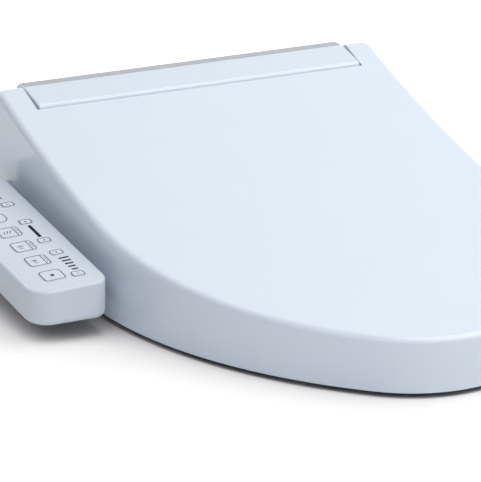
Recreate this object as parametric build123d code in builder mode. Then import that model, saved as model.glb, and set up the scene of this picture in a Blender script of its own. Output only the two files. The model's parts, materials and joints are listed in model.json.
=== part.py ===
from build123d import *

import os
from math import acos, atan2, cos, pi, radians, sin, sqrt, tan

# Electric bidet seat. All sizes are in millimetres.
# The origin lies midway between the two fixing bolts, on the plane of the bowl's rim.
# The nose of the seat points to -Y and the control arm is on the -X side.

# Lid, seen from above
LID_LENGTH = 486.0
LID_HALF_WIDTH = 193.0
LID_STRAIGHT_SIDE = 180.0
LID_NOSE_RADIUS = 104.0
LID_REAR = 39.5
EAR_CORNER_RADIUS = 9.0

# Lid, seen from the side
LID_NOSE_HEIGHT = 52.0
LID_TOP_RADIUS = 1505.0
LID_WALL = 3.2
LID_EDGE_RADIUS = 6.0
SKIRT_LOW = 8.0
SKIRT_BREAK = 153.5
SKIRT_RISE = 0.4
SKIRT_BEND_RADIUS = 90.0

# Hinge line, shared by the lid and the seat
HINGE_Y = 30.0
HINGE_Z = 124.0
HUMP_RADIUS = 30.8
HUMP_HALF_WIDTH = 165.0
STRIP_ANGLE = 13.6
STRIP_HEIGHT = 18.3
STRIP_FRONT_ROUND = 4.0
STRIP_END_ROUND = 1.5
BAND_HEIGHT = 19.9
BAND_BREAK_ROUND = 6.0
BAND_REAR_ROUND = 7.0
SWING_GAP = 0.7
SLIT = 2.0
CHEEK_THICKNESS = 4.0
CHEEK_RADIUS = 28.2
SHAFT_RADIUS = 5.0
SHAFT_FLAT = 4.0
SHAFT_CLEARANCE = 0.08
EYE_RADIUS = 10.0
EYE_SIDE_GAP = 0.8
EYE_THICKNESS = 12.0
DAMPER_RADIUS = 11.0
DAMPER_FLAT = 8.8
DAMPER_LENGTH = 62.0
DAMPER_KEY_LENGTH = 20.0

# Seat ring
SEAT_SIDE_GAP = 5.0
SEAT_TOP_GAP = 6.0
SEAT_LOW = 10.0
SEAT_REAR_THICKNESS = 18.0
SEAT_WALL = 3.0
SEAT_EDGE_RADIUS = 9.0
SEAT_BASE_THICKNESS = 2.5
SEAT_BASE_GAP = 0.2
RING_SIDE_WIDTH = 90.0
RING_NOSE_WIDTH = 58.0
HOLE_REAR = 138.0
HOLE_REAR_RADIUS = 74.0
HEATER_THICKNESS = 0.8
HEATER_MARGIN = 9.5

# Rear housing
BODY_HALF_WIDTH = 188.0
BODY_FRONT = 148.0
BODY_REAR = 53.0
BODY_CORNER_RADIUS = 14.0
BODY_WALL = 3.0
DECK_GAP = 2.0
TRAY_LOW = 2.0
PARTING_Z = 40.0
BOSS_RADIUS = 6.0
BOSS_HEIGHT = 14.0
BOSS_FRONT_X = 168.0
BOSS_REAR_X = 120.0
BOSS_SINK = 1.0
EAR_POCKET_RADIUS = 42.0

# Mounting bracket and the channel that slides over it
BRACKET_SPACING = 140.0
BRACKET_SLOT_WIDTH = 10.4
BRACKET_SLOT_LENGTH = 34.0
BRACKET_HALF_WIDTH = 98.0
BRACKET_FLANGE = 10.0
BRACKET_FRONT = 50.0
BRACKET_REAR = 35.0
BRACKET_CORNER_RADIUS = 6.0
BOLT_HEAD_LEDGE = 4.0
BOLT_HEAD_RECESS = 5.0
BRACKET_PAD_HEIGHT = 5.4
BRACKET_FLANGE_HEIGHT = 3.6
CHANNEL_GAP = 0.3
CHANNEL_ROOF = 3.0

# Spray nozzle, its cradle and its rack drive
NOZZLE_PITCH = 20.0
NOZZLE_TIP_Y = -146.0
NOZZLE_TIP_Z = 25.0
NOZZLE_RADIUS = 7.0
NOZZLE_TAIL = 4.0
NOZZLE_HEAD_LENGTH = 20.0
NOZZLE_BORE_RADIUS = 3.0
NOZZLE_TIP_ROUND = 3.5
SPRAY_HOLE_RADIUS = 0.8
SPRAY_RING_RADIUS = 2.4
SPRAY_HOLES = 3
NOZZLE_TRAVEL = 90.0
GUIDE_GAP = 0.35
CRADLE_HALF_WIDTH = 12.0
CRADLE_DEPTH = 10.5
CRADLE_LIP = 5.2
CRADLE_PLATE = 3.0
CRADLE_START = 4.0
CRADLE_LEG = 16.0
CRADLE_SPAN = 66.0
TOOTH_MODULE = 1.0
PINION_TEETH = 12
TOOTH_ANGLE = 25.0
TOOTH_ADDENDUM = 0.7
TOOTH_DEDENDUM = 0.95
TOOTH_BACKLASH = 0.16
RACK_WIDTH = 5.0
RACK_SPARE_TEETH = 3
RACK_PITCH_HEIGHT = 9.0
PINION_STATION = 28.0
MOTOR_RADIUS = 11.0
MOTOR_LENGTH = 17.0
MOTOR_SHAFT_RADIUS = 2.5
MOTOR_SHAFT_GAP = 0.3
MOTOR_ROUND = 1.2
PORT_HALF_WIDTH = 12.5
PORT_LOW = 12.0
PORT_HIGH = 38.0

# Water parts
TANK_X = 96.0
TANK_Y = -12.0
TANK_WIDTH = 100.0
TANK_DEPTH = 76.0
TANK_HEIGHT = 44.0
TANK_WALL = 2.5
TANK_LID_THICKNESS = 4.0
TANK_ROUND = 10.0
TANK_LID_ROUND = 1.3
HEATER_ROD_RADIUS = 3.5
HEATER_SPAN = 48.0
HEATER_BEND_RADIUS = 10.5
HEATER_LIFT = 10.5
VALVE_WIDTH = 34.0
VALVE_DEPTH = 30.0
VALVE_HEIGHT = 26.0
VALVE_ROUND = 3.2
VALVE_STUB_OFFSET = 7.5
VALVE_Y = 16.0
VALVE_Z = 24.0
COIL_RADIUS = 11.0
COIL_HEIGHT = 18.0
SPIGOT_RADIUS = 10.48
SPIGOT_LENGTH = 15.0
SPIGOT_NECK_RADIUS = 9.4
SPIGOT_BORE_RADIUS = 6.5
SPIGOT_COLLAR = 3.5
SPIGOT_GAP = 0.2
HOSE_RADIUS = 4.5
HOSE_WALL = 1.5
HOSE_Y = 0.0
DIVERTER_X = -36.0
DIVERTER_WIDTH = 36.0
DIVERTER_DEPTH = 34.0
DIVERTER_HEIGHT = 30.0
DIVERTER_ROUND = 4.2
DIVERTER_DRUM_RADIUS = 13.0
DIVERTER_DRUM_HEIGHT = 16.0

# Electronics, deodoriser and service pieces
BOARD_X = -143.0
BOARD_Y = -52.0
BOARD_WIDTH = 66.0
BOARD_DEPTH = 124.0
BOARD_THICKNESS = 1.6
BOARD_POST_HEIGHT = 8.0
BOARD_POST_RADIUS = 3.5
BOARD_SEAT_INSET = 4.5
RELAY_WIDTH = 16.5
RELAY_DEPTH = 20.5
RELAY_HEIGHT = 11.0
RELAY_SPACING_X = 33.0
RELAY_SPACING_Y = 41.0
CAPACITOR_RADIUS = 6.0
CAPACITOR_HEIGHT = 22.0
GLAND_X = -150.0
GLAND_Z = 20.0
GLAND_RADIUS = 5.5
GLAND_FLANGE_RADIUS = 8.0
GLAND_FLANGE = 2.0
GLAND_BORE_RADIUS = 3.2
GLAND_GAP = 0.2
FAN_DUCT = 32.0
FAN_Y = -83.0
FAN_RADIUS = 27.0
FAN_HEIGHT = 26.0
FAN_WALL = 2.0
FAN_INLET_RADIUS = 15.0
ROTOR_RADIUS = 20.0
ROTOR_HEIGHT = 16.0
ROTOR_BLADES = 14
ROTOR_BLADE_RING = 16.0
ROTOR_BLADE_LENGTH = 7.2
ROTOR_HUB_RADIUS = 6.0
ROTOR_PIN_RADIUS = 2.0
ROTOR_LIFT = 0.3
ROTOR_BLADE_ANGLE = 50.0
CASSETTE_WIDTH = 34.0
CASSETTE_HEIGHT = 22.0
CASSETTE_LENGTH = 74.0
CASSETTE_WALL = 1.6
CASSETTE_GAP = 0.3
CASSETTE_GRIP = 6.0
CASSETTE_GRIP_RADIUS = 4.8
CASSETTE_GRIP_WIDTH = 17.0
RELEASE_Y = -42.0
RELEASE_Z = 24.0
RELEASE_WIDTH = 24.0
RELEASE_HEIGHT = 13.0
RELEASE_CORNER = 3.2
RELEASE_ROUND = 1.0
RELEASE_PROUD = 2.0
RELEASE_LIP = 2.0
RELEASE_DEPTH = 12.0
RELEASE_GAP = 0.3
FOOT_RADIUS = 11.0
FOOT_X = 158.0
FOOT_FRONT_Y = -120.0
FOOT_REAR_Y = 20.0
BUMPER_LENGTH = 42.0
BUMPER_WIDTH = 14.0
BUMPER_CHAMFER = 1.2
NOSE_BUMPER_ANGLE = 36.0
NOSE_BUMPER_OFFSET = 18.0
LID_PAD_RADIUS = 7.0
PAD_GAP = 0.3

# Control arm
ARM_INNER_X = -204.0
ARM_FRONT_Y = -235.0
ARM_FRONT_Z = 50.9
ARM_PITCH = 6.7
ARM_TILT = 2.9
ARM_WIDTH = 72.0
ARM_LENGTH = 262.0
ARM_HEIGHT = 34.5
ARM_OUTER_CORNER = 20.0
ARM_INNER_CORNER = 14.0
ARM_REAR_CORNER = 10.0
ARM_WALL = 2.5
ARM_TOP_ROUND = 2.5
ARM_LOW_ROUND = 5.0
ARM_LIP_INSET = 15.0
ARM_PLATE_INSET = 6.0
ARM_PLATE_THICKNESS = 3.0
ARM_LIP_THICKNESS = 2.5
BRIDGE_Y = 8.0
BRIDGE_WIDTH = 34.0
BRIDGE_LOW = 46.0
BRIDGE_HEIGHT = 15.0
KEY_PITCH = 30.4
KEY_COLUMN = 41.5
KEY_FIRST = 28.2
KEY_WIDTH = 20.5
KEY_DEPTH = 19.5
KEY_CORNER = 5.0
ROUND_KEY_CORNER = 9.0
SMALL_KEY_COLUMN = 20.2
SMALL_KEY_WIDTH = 12.0
SMALL_KEY_DEPTH = 9.5
SMALL_KEY_CORNER = 3.0
SMALL_KEY_ROWS = [22.0, 66.8, 92.7, 133.0, 171.8, 212.1]
KEY_PROUD = 0.4
KEY_GAP = 0.3
KEY_LIP = 1.2
KEY_LIP_THICKNESS = 1.2
KEY_TRAVEL = 0.8
KEY_REST_GAP = 0.3
KEY_BOARD_THICKNESS = 1.6
SCREW_RADIUS = 2.0
SCREW_HEAD_RADIUS = 3.6
SCREW_HEAD_HEIGHT = 2.2

# Values worked out from the sizes above
HEADROOM = HINGE_Z + 2 * HUMP_RADIUS
MARGIN = 10.0
NOSE_REACH = LID_LENGTH - LID_STRAIGHT_SIDE
SIDE_ARC_RADIUS = (LID_HALF_WIDTH**2 + NOSE_REACH**2 - 2 * NOSE_REACH * LID_NOSE_RADIUS) / (
    2 * (LID_HALF_WIDTH - LID_NOSE_RADIUS)
)
SIDE_CENTRE_X = LID_HALF_WIDTH - SIDE_ARC_RADIUS
SIDE_ANGLE = atan2(NOSE_REACH - LID_NOSE_RADIUS, -SIDE_CENTRE_X)
TOP_CENTRE_Z = LID_NOSE_HEIGHT + LID_TOP_RADIUS
HOLE_HALF_WIDTH = LID_HALF_WIDTH - RING_SIDE_WIDTH
HOLE_FRONT = LID_LENGTH - RING_NOSE_WIDTH
SEAT_TOP_DEPTH = LID_WALL + SEAT_TOP_GAP
SEAT_REAR_DEPTH = SEAT_TOP_DEPTH + SEAT_REAR_THICKNESS
DECK_DEPTH = SEAT_REAR_DEPTH + DECK_GAP
SEAT_INSET = LID_WALL + SEAT_SIDE_GAP
SEAT_STEP = BODY_FRONT + DECK_GAP + SEAT_SIDE_GAP
CUTOUT_RADIUS = HUMP_RADIUS + SWING_GAP
CHEEK_X = HUMP_HALF_WIDTH + SLIT
EYE_X = CHEEK_X + CHEEK_THICKNESS + EYE_SIDE_GAP
EYE_END_X = EYE_X + EYE_THICKNESS
TRAY_FLOOR = TRAY_LOW + BODY_WALL
FLANGE_TOP = BRACKET_PAD_HEIGHT + BRACKET_FLANGE_HEIGHT
CHANNEL_TOP = FLANGE_TOP + CHANNEL_GAP
CHANNEL_DECK = CHANNEL_TOP + CHANNEL_ROOF
PINION_RADIUS = TOOTH_MODULE * PINION_TEETH / 2
TOOTH_PITCH = pi * TOOTH_MODULE
PINION_HEIGHT = RACK_PITCH_HEIGHT + PINION_RADIUS
HINGE_POINT = (HINGE_Y, HINGE_Z)

# Plane across the nozzle, looking back up its axis, and plane along it, seen from the side
NOZZLE_BACK = Vector(0, cos(radians(NOZZLE_PITCH)), sin(radians(NOZZLE_PITCH)))
NOZZLE_TIP = Vector(0, NOZZLE_TIP_Y, NOZZLE_TIP_Z)
NOZZLE_ACROSS = Plane(origin=NOZZLE_TIP, x_dir=(-1, 0, 0), z_dir=NOZZLE_BACK)
NOZZLE_SIDE = Plane(origin=NOZZLE_TIP, x_dir=NOZZLE_BACK, z_dir=(1, 0, 0))

# Plane of the arm's top: x runs across towards the lid, y runs to the rear
ARM_NORMAL = Vector(-tan(radians(ARM_TILT)), -tan(radians(ARM_PITCH)), 1).normalized()
ARM_TOP = Plane(
    origin=(ARM_INNER_X, ARM_FRONT_Y, ARM_FRONT_Z),
    x_dir=(1, 0, tan(radians(ARM_TILT))),
    z_dir=ARM_NORMAL,
)

os.makedirs("parts", exist_ok=True)


def save(piece, name):
    """Label a finished piece and write it under that name."""
    piece.label = name
    export_step(piece, f"parts/{name}.step")


def top_z(y, depth):
    """Height of the hollow-curved top at y, moved down by depth."""
    return TOP_CENTRE_Z - sqrt((LID_TOP_RADIUS + depth) ** 2 - (y + LID_LENGTH) ** 2)


def top_curve(y_start, y_end, depth):
    """Draw the top's side curve between two stations, moved down by depth."""
    y_mid = (y_start + y_end) / 2
    return ThreePointArc(
        (y_start, top_z(y_start, depth)),
        (y_mid, top_z(y_mid, depth)),
        (y_end, top_z(y_end, depth)),
    )


def plan_outline(inset, rear):
    """Draw the outline from above: straight sides, two long arcs and a round nose."""
    half_width = LID_HALF_WIDTH - inset
    side = SIDE_ARC_RADIUS - inset
    nose = LID_NOSE_RADIUS - inset
    nose_angle = (SIDE_ANGLE + pi / 2) / 2
    nose_y = LID_NOSE_RADIUS - LID_LENGTH
    start = (half_width, -LID_STRAIGHT_SIDE)
    side_mid = (
        SIDE_CENTRE_X + side * cos(SIDE_ANGLE / 2),
        -LID_STRAIGHT_SIDE - side * sin(SIDE_ANGLE / 2),
    )
    bend = (nose * cos(SIDE_ANGLE), nose_y - nose * sin(SIDE_ANGLE))
    nose_mid = (nose * cos(nose_angle), nose_y - nose * sin(nose_angle))
    Line((half_width, rear), start)
    ThreePointArc(start, side_mid, bend)
    ThreePointArc(bend, nose_mid, (0, nose_y - nose))
    mirror(about=Plane.YZ)
    Line((half_width, rear), (-half_width, rear))


def lid_form(inset, skirted):
    """Solid below the lid's top face, drawn in by inset, with the skirt's edge or a flat foot."""
    front = -LID_LENGTH - MARGIN
    rear = LID_REAR + MARGIN
    with BuildPart() as form:
        with BuildSketch() as plan:
            with BuildLine():
                plan_outline(inset, LID_REAR - inset)
            make_face()
            fillet(plan.vertices().group_by(Axis.Y)[-1], EAR_CORNER_RADIUS - inset)
        extrude(amount=HEADROOM)
        with BuildSketch(Plane.YZ):
            with BuildLine():
                top_curve(front, rear, inset)
                if skirted:
                    skirt_rear = (rear, SKIRT_LOW + SKIRT_RISE * (rear + SKIRT_BREAK))
                    FilletPolyline(
                        (front, SKIRT_LOW),
                        (-SKIRT_BREAK, SKIRT_LOW),
                        skirt_rear,
                        radius=SKIRT_BEND_RADIUS,
                    )
                    Line((front, SKIRT_LOW), (front, top_z(front, inset)))
                    Line(skirt_rear, (rear, top_z(rear, inset)))
                else:
                    Polyline(
                        (front, top_z(front, inset)),
                        (front, -MARGIN),
                        (rear, -MARGIN),
                        (rear, top_z(rear, inset)),
                    )
            make_face()
        extrude(amount=LID_HALF_WIDTH, both=True, mode=Mode.INTERSECT)
        top = form.faces().filter_by(GeomType.CYLINDER).sort_by(SortBy.AREA)[-1]
        fillet(top.edges(), LID_EDGE_RADIUS - inset)
    return form.part


# Lid
LID_OUTSIDE = lid_form(0, True)
LID_INSIDE = lid_form(LID_WALL, False)

with BuildPart() as lid_cheek:
    with BuildSketch(Plane.YZ.offset(CHEEK_X)):
        with Locations(HINGE_POINT):
            Circle(CHEEK_RADIUS)
    extrude(amount=CHEEK_THICKNESS)
    mirror(about=Plane.YZ)
    add(LID_OUTSIDE, mode=Mode.INTERSECT)

with BuildPart() as lid:
    add(LID_OUTSIDE)
    add(LID_INSIDE, mode=Mode.SUBTRACT)
    with BuildSketch(Plane.YZ):
        with Locations(HINGE_POINT):
            Circle(CUTOUT_RADIUS)
        with Locations((HINGE_Y + HUMP_RADIUS, HINGE_Z)):
            Rectangle(2 * HUMP_RADIUS, 4 * HUMP_RADIUS)
    extrude(amount=CHEEK_X, both=True, mode=Mode.SUBTRACT)
    for side in (1, -1):
        with BuildSketch(Plane.YZ.offset(side * CHEEK_X)):
            with Locations((LID_REAR, HINGE_Z + EYE_RADIUS + EYE_SIDE_GAP)):
                Rectangle(4 * LID_WALL, 4 * HUMP_RADIUS, align=(Align.CENTER, Align.MAX))
        extrude(amount=side * (LID_HALF_WIDTH - LID_WALL - CHEEK_X), mode=Mode.SUBTRACT)
    add(lid_cheek.part)
    with BuildSketch(Plane.YZ):
        with Locations(HINGE_POINT):
            Circle(SHAFT_RADIUS + SHAFT_CLEARANCE)
    extrude(amount=LID_HALF_WIDTH - LID_WALL, mode=Mode.SUBTRACT)
    with BuildSketch(Plane.YZ):
        with Locations(HINGE_POINT):
            Circle(SHAFT_RADIUS + SHAFT_CLEARANCE)
            Rectangle(3 * SHAFT_RADIUS, 2 * (SHAFT_FLAT + SHAFT_CLEARANCE), mode=Mode.INTERSECT)
    extrude(amount=LID_WALL - LID_HALF_WIDTH, mode=Mode.SUBTRACT)

save(lid.part, "lid")


def hole_outline(grow):
    """Sketch of the opening in the seat ring, widened by grow."""
    with BuildSketch() as hole:
        with Locations((0, HOLE_HALF_WIDTH - HOLE_FRONT)):
            Circle(HOLE_HALF_WIDTH + grow)
            Rectangle(
                2 * (HOLE_HALF_WIDTH + grow),
                HOLE_FRONT - HOLE_HALF_WIDTH - HOLE_REAR + grow,
                align=(Align.CENTER, Align.MIN),
            )
        fillet(hole.vertices().group_by(Axis.Y)[-1], HOLE_REAR_RADIUS)
    return hole.sketch


def seat_form(inset, drop, rounded):
    """Seat ring drawn in by inset, with its underside moved outwards by drop."""
    front = -LID_LENGTH - MARGIN
    top_depth = SEAT_TOP_DEPTH + inset
    rear_depth = SEAT_REAR_DEPTH + drop
    step = drop - SEAT_STEP
    low = SEAT_LOW - drop
    with BuildPart() as form:
        with BuildSketch():
            with BuildLine():
                plan_outline(SEAT_INSET + inset, HINGE_Y)
            make_face()
        extrude(amount=HEADROOM)
        extrude(hole_outline(inset), amount=HEADROOM, mode=Mode.SUBTRACT)
        with BuildSketch(Plane.YZ):
            with BuildLine():
                top_curve(front, HINGE_Y, top_depth)
                Polyline(
                    (front, top_z(front, top_depth)),
                    (front, low),
                    (step, low),
                    (step, top_z(step, rear_depth)),
                )
                top_curve(step, HINGE_Y, rear_depth)
                Line((HINGE_Y, top_z(HINGE_Y, rear_depth)), (HINGE_Y, top_z(HINGE_Y, top_depth)))
            make_face()
        extrude(amount=LID_HALF_WIDTH, both=True, mode=Mode.INTERSECT)
        if rounded:
            top = form.faces().filter_by(GeomType.CYLINDER).sort_by(SortBy.AREA)[-1]
            fillet(top.edges(), SEAT_EDGE_RADIUS - inset)
        with BuildSketch(Plane.YZ):
            with Locations(HINGE_POINT):
                Circle(CUTOUT_RADIUS + inset)
        extrude(amount=LID_HALF_WIDTH, both=True, mode=Mode.SUBTRACT)
    return form.part


# Seat ring: a heated top moulding closed from below by a base plate
with BuildPart() as seat_top:
    add(seat_form(0, 0, True))
    add(seat_form(SEAT_WALL, MARGIN, True), mode=Mode.SUBTRACT)
    root_y = HINGE_Y - CUTOUT_RADIUS
    root_z = top_z(root_y, (SEAT_TOP_DEPTH + SEAT_REAR_DEPTH) / 2)
    for side in (1, -1):
        with BuildSketch(Plane.YZ.offset(side * EYE_X)):
            with Locations(HINGE_POINT):
                Circle(EYE_RADIUS)
            with Locations((root_y, root_z)):
                Rectangle(SEAT_WALL, SEAT_REAR_THICKNESS - 2 * SEAT_WALL)
            make_hull()
        extrude(amount=side * EYE_THICKNESS)
    with BuildSketch(Plane.YZ):
        with Locations(HINGE_POINT):
            Circle(SHAFT_RADIUS + SHAFT_CLEARANCE)
    extrude(amount=-EYE_END_X, mode=Mode.SUBTRACT)
    with BuildSketch(Plane.YZ):
        with Locations(HINGE_POINT):
            Circle(SHAFT_RADIUS + SHAFT_CLEARANCE)
            Rectangle(3 * SHAFT_RADIUS, 2 * (SHAFT_FLAT + SHAFT_CLEARANCE), mode=Mode.INTERSECT)
    extrude(amount=EYE_END_X, mode=Mode.SUBTRACT)

save(seat_top.part, "seat_top")

with BuildPart() as seat_base:
    add(seat_form(SEAT_WALL + SEAT_BASE_GAP, 0, False))
    add(seat_form(SEAT_WALL + SEAT_BASE_GAP, -SEAT_BASE_THICKNESS, False), mode=Mode.SUBTRACT)

save(seat_base.part, "seat_base")

with BuildPart() as seat_heater:
    with BuildSketch():
        with BuildLine():
            plan_outline(SEAT_INSET + HEATER_MARGIN, -SEAT_STEP)
        make_face()
        add(hole_outline(HEATER_MARGIN), mode=Mode.SUBTRACT)
    extrude(amount=HEADROOM)
    with BuildSketch(Plane.YZ):
        with BuildLine():
            foil_depth = SEAT_TOP_DEPTH + SEAT_WALL + SHAFT_CLEARANCE
            foil_low = foil_depth + HEATER_THICKNESS
            top_curve(-LID_LENGTH, 0, foil_depth)
            top_curve(-LID_LENGTH, 0, foil_low)
            for end in (-LID_LENGTH, 0):
                Line((end, top_z(end, foil_depth)), (end, top_z(end, foil_low)))
        make_face()
    extrude(amount=LID_HALF_WIDTH, both=True, mode=Mode.INTERSECT)

save(seat_heater.part, "seat_heater")

# Rubber bumpers under the seat ring, two along the sides and two turned round the nose
BUMPER_X = (HOLE_HALF_WIDTH + LID_HALF_WIDTH - SEAT_INSET) / 2
NOSE_BUMPER_REACH = HOLE_HALF_WIDTH + NOSE_BUMPER_OFFSET
NOSE_BUMPER_X = NOSE_BUMPER_REACH * cos(radians(NOSE_BUMPER_ANGLE))
NOSE_BUMPER_Y = HOLE_HALF_WIDTH - HOLE_FRONT - NOSE_BUMPER_REACH * sin(radians(NOSE_BUMPER_ANGLE))
BUMPER_PLACES = [
    Location((BUMPER_X, -LID_STRAIGHT_SIDE - BUMPER_LENGTH, 0), (0, 0, 90)),
    Location((NOSE_BUMPER_X, NOSE_BUMPER_Y, 0), (0, 0, 90 - NOSE_BUMPER_ANGLE)),
]

with BuildPart() as seat_bumpers:
    with BuildSketch():
        with Locations(*BUMPER_PLACES):
            SlotOverall(BUMPER_LENGTH, BUMPER_WIDTH)
        mirror(about=Plane.YZ)
    extrude(amount=SEAT_LOW)
    chamfer(seat_bumpers.edges().group_by(Axis.Z)[0], BUMPER_CHAMFER)

save(seat_bumpers.part, "seat_bumpers")

# Soft pads inside the lid, which land on the seat
with BuildPart() as lid_pads:
    with BuildSketch():
        with Locations(*[place.position for place in BUMPER_PLACES]):
            Circle(LID_PAD_RADIUS)
        mirror(about=Plane.YZ)
    extrude(amount=HEADROOM)
    with BuildSketch(Plane.YZ):
        with BuildLine():
            pad_top = LID_WALL + SHAFT_CLEARANCE
            pad_low = SEAT_TOP_DEPTH - PAD_GAP
            top_curve(-LID_LENGTH, 0, pad_top)
            top_curve(-LID_LENGTH, 0, pad_low)
            for end in (-LID_LENGTH, 0):
                Line((end, top_z(end, pad_top)), (end, top_z(end, pad_low)))
        make_face()
    extrude(amount=LID_HALF_WIDTH, both=True, mode=Mode.INTERSECT)

save(lid_pads.part, "lid_pads")


def hinge_shaft(side):
    """Flatted shaft from inside a damper out to the end of the seat's eye, on one side."""
    start = HUMP_HALF_WIDTH - BODY_WALL - DAMPER_KEY_LENGTH
    with BuildPart() as shaft:
        with BuildSketch(Plane.YZ.offset(side * start)):
            with Locations(HINGE_POINT):
                Circle(SHAFT_RADIUS)
                Rectangle(3 * SHAFT_RADIUS, 2 * SHAFT_FLAT, mode=Mode.INTERSECT)
        extrude(amount=side * (EYE_END_X - start))
    return shaft.part


def damper(side):
    """Rotary damper inside the hump, against its end wall, on one side."""
    start = HUMP_HALF_WIDTH - BODY_WALL
    with BuildPart() as body:
        with BuildSketch(Plane.YZ.offset(side * start)):
            with Locations(HINGE_POINT):
                Circle(DAMPER_RADIUS)
                Rectangle(3 * DAMPER_RADIUS, 2 * DAMPER_FLAT, mode=Mode.INTERSECT)
        extrude(amount=-side * DAMPER_KEY_LENGTH)
        with BuildSketch(Plane.YZ.offset(side * (start - DAMPER_KEY_LENGTH))):
            with Locations(HINGE_POINT):
                Circle(DAMPER_RADIUS)
        extrude(amount=-side * (DAMPER_LENGTH - DAMPER_KEY_LENGTH))
        with BuildSketch(Plane.YZ.offset(side * start)):
            with Locations(HINGE_POINT):
                Circle(SHAFT_RADIUS + SHAFT_CLEARANCE)
        extrude(amount=-side * (DAMPER_KEY_LENGTH + SHAFT_CLEARANCE), mode=Mode.SUBTRACT)
    return body.part


save(hinge_shaft(-1), "lid_damper_shaft")
save(hinge_shaft(1), "seat_damper_shaft")
save(damper(-1), "lid_damper")
save(damper(1), "seat_damper")


def housing_form(inset, low):
    """Rear housing above low, drawn in by inset: sloping deck, hinge hump and ear pockets."""
    front = -BODY_FRONT - MARGIN
    rear = BODY_REAR + MARGIN
    depth = DECK_DEPTH + inset
    radius = HUMP_RADIUS - inset
    height = STRIP_HEIGHT - inset
    tilt = radians(STRIP_ANGLE)
    half_chord = sqrt(radius**2 - height**2)
    strip_front = (
        HINGE_Y - height * sin(tilt) - half_chord * cos(tilt),
        HINGE_Z + height * cos(tilt) - half_chord * sin(tilt),
    )
    band = BAND_HEIGHT - inset
    band_front = (HINGE_Y + (band * cos(tilt) - height) / sin(tilt), HINGE_Z + band)
    band_rear = (BODY_REAR - inset, HINGE_Z + band)
    with BuildPart() as form:
        with BuildSketch(Plane.XY.offset(low)):
            with Locations((0, (BODY_REAR - BODY_FRONT) / 2)):
                RectangleRounded(
                    2 * (BODY_HALF_WIDTH - inset),
                    BODY_FRONT + BODY_REAR - 2 * inset,
                    BODY_CORNER_RADIUS - inset,
                )
        extrude(amount=HEADROOM)
        with BuildSketch(Plane.YZ) as side_view:
            with BuildLine():
                top_curve(front, rear, depth)
                Polyline(
                    (front, top_z(front, depth)),
                    (front, 0),
                    (rear, 0),
                    (rear, top_z(rear, depth)),
                )
            make_face()
            with Locations(HINGE_POINT):
                Circle(radius)
            with Locations(Location((HINGE_Y, HINGE_Z, 0), (0, 0, STRIP_ANGLE))):
                with Locations((0, height)):
                    Rectangle(
                        4 * radius, 2 * radius, align=(Align.CENTER, Align.MIN), mode=Mode.SUBTRACT
                    )
            with Locations((HINGE_Y, HINGE_Z + band)):
                Rectangle(
                    4 * radius, 2 * radius, align=(Align.CENTER, Align.MIN), mode=Mode.SUBTRACT
                )
            with Locations((BODY_REAR - inset, 0)):
                Rectangle(4 * MARGIN, HEADROOM, align=(Align.MIN, Align.MIN), mode=Mode.SUBTRACT)
            for corner, size in (
                (strip_front, STRIP_FRONT_ROUND),
                (band_front, BAND_BREAK_ROUND),
                (band_rear, BAND_REAR_ROUND),
            ):
                fillet(side_view.vertices().sort_by_distance(Vector(*corner))[0], size)
        extrude(amount=BODY_HALF_WIDTH, both=True, mode=Mode.INTERSECT)
        for side in (1, -1):
            with BuildSketch(Plane.YZ.offset(side * (HUMP_HALF_WIDTH - inset))):
                with Locations(HINGE_POINT):
                    Circle(EAR_POCKET_RADIUS + inset)
                    Rectangle(
                        2 * (EAR_POCKET_RADIUS + inset), HEADROOM, align=(Align.CENTER, Align.MIN)
                    )
            extrude(amount=side * BODY_HALF_WIDTH, mode=Mode.SUBTRACT)
    return form.part


# Rear cover: deck under the seat, and the hump with the strip panel behind the lid
BOSS_INSET = BODY_WALL + BOSS_RADIUS - BOSS_SINK
COVER_BOSSES = [
    (-BOSS_FRONT_X, BOSS_INSET - BODY_FRONT),
    (BOSS_FRONT_X, BOSS_INSET - BODY_FRONT),
    (-BOSS_REAR_X, BODY_REAR - BOSS_INSET),
    (BOSS_REAR_X, BODY_REAR - BOSS_INSET),
]

with BuildPart() as rear_cover:
    add(housing_form(0, PARTING_Z))
    for side in (1, -1):
        end_x = side * HUMP_HALF_WIDTH
        end_edges = rear_cover.edges().filter_by_position(Axis.X, end_x, end_x)
        fillet(end_edges.filter_by_position(Axis.Z, HINGE_Z + EYE_RADIUS, HEADROOM), STRIP_END_ROUND)
    add(housing_form(BODY_WALL, PARTING_Z - MARGIN), mode=Mode.SUBTRACT)
    with BuildSketch(Plane.XY.offset(PARTING_Z)):
        with Locations(*COVER_BOSSES):
            Circle(BOSS_RADIUS)
    extrude(amount=BOSS_HEIGHT)
    with BuildSketch(Plane.XY.offset(PARTING_Z)):
        with Locations(*COVER_BOSSES):
            Circle(SCREW_RADIUS + SHAFT_CLEARANCE)
    extrude(amount=BOSS_HEIGHT - BODY_WALL, mode=Mode.SUBTRACT)
    with BuildSketch(Plane.YZ):
        with Locations(HINGE_POINT):
            Circle(SHAFT_RADIUS + SHAFT_CLEARANCE)
    extrude(amount=HUMP_HALF_WIDTH, both=True, mode=Mode.SUBTRACT)

save(rear_cover.part, "rear_cover")

# Base tray with the channel that slides over the bracket
CHANNEL_HALF_WIDTH = BRACKET_HALF_WIDTH + CHANNEL_GAP
CHANNEL_FRONT = -BRACKET_FRONT - CHANNEL_GAP
GLAND_PLANE = Plane(origin=(GLAND_X, BODY_REAR, GLAND_Z), x_dir=(-1, 0, 0), z_dir=(0, 1, 0))

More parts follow.
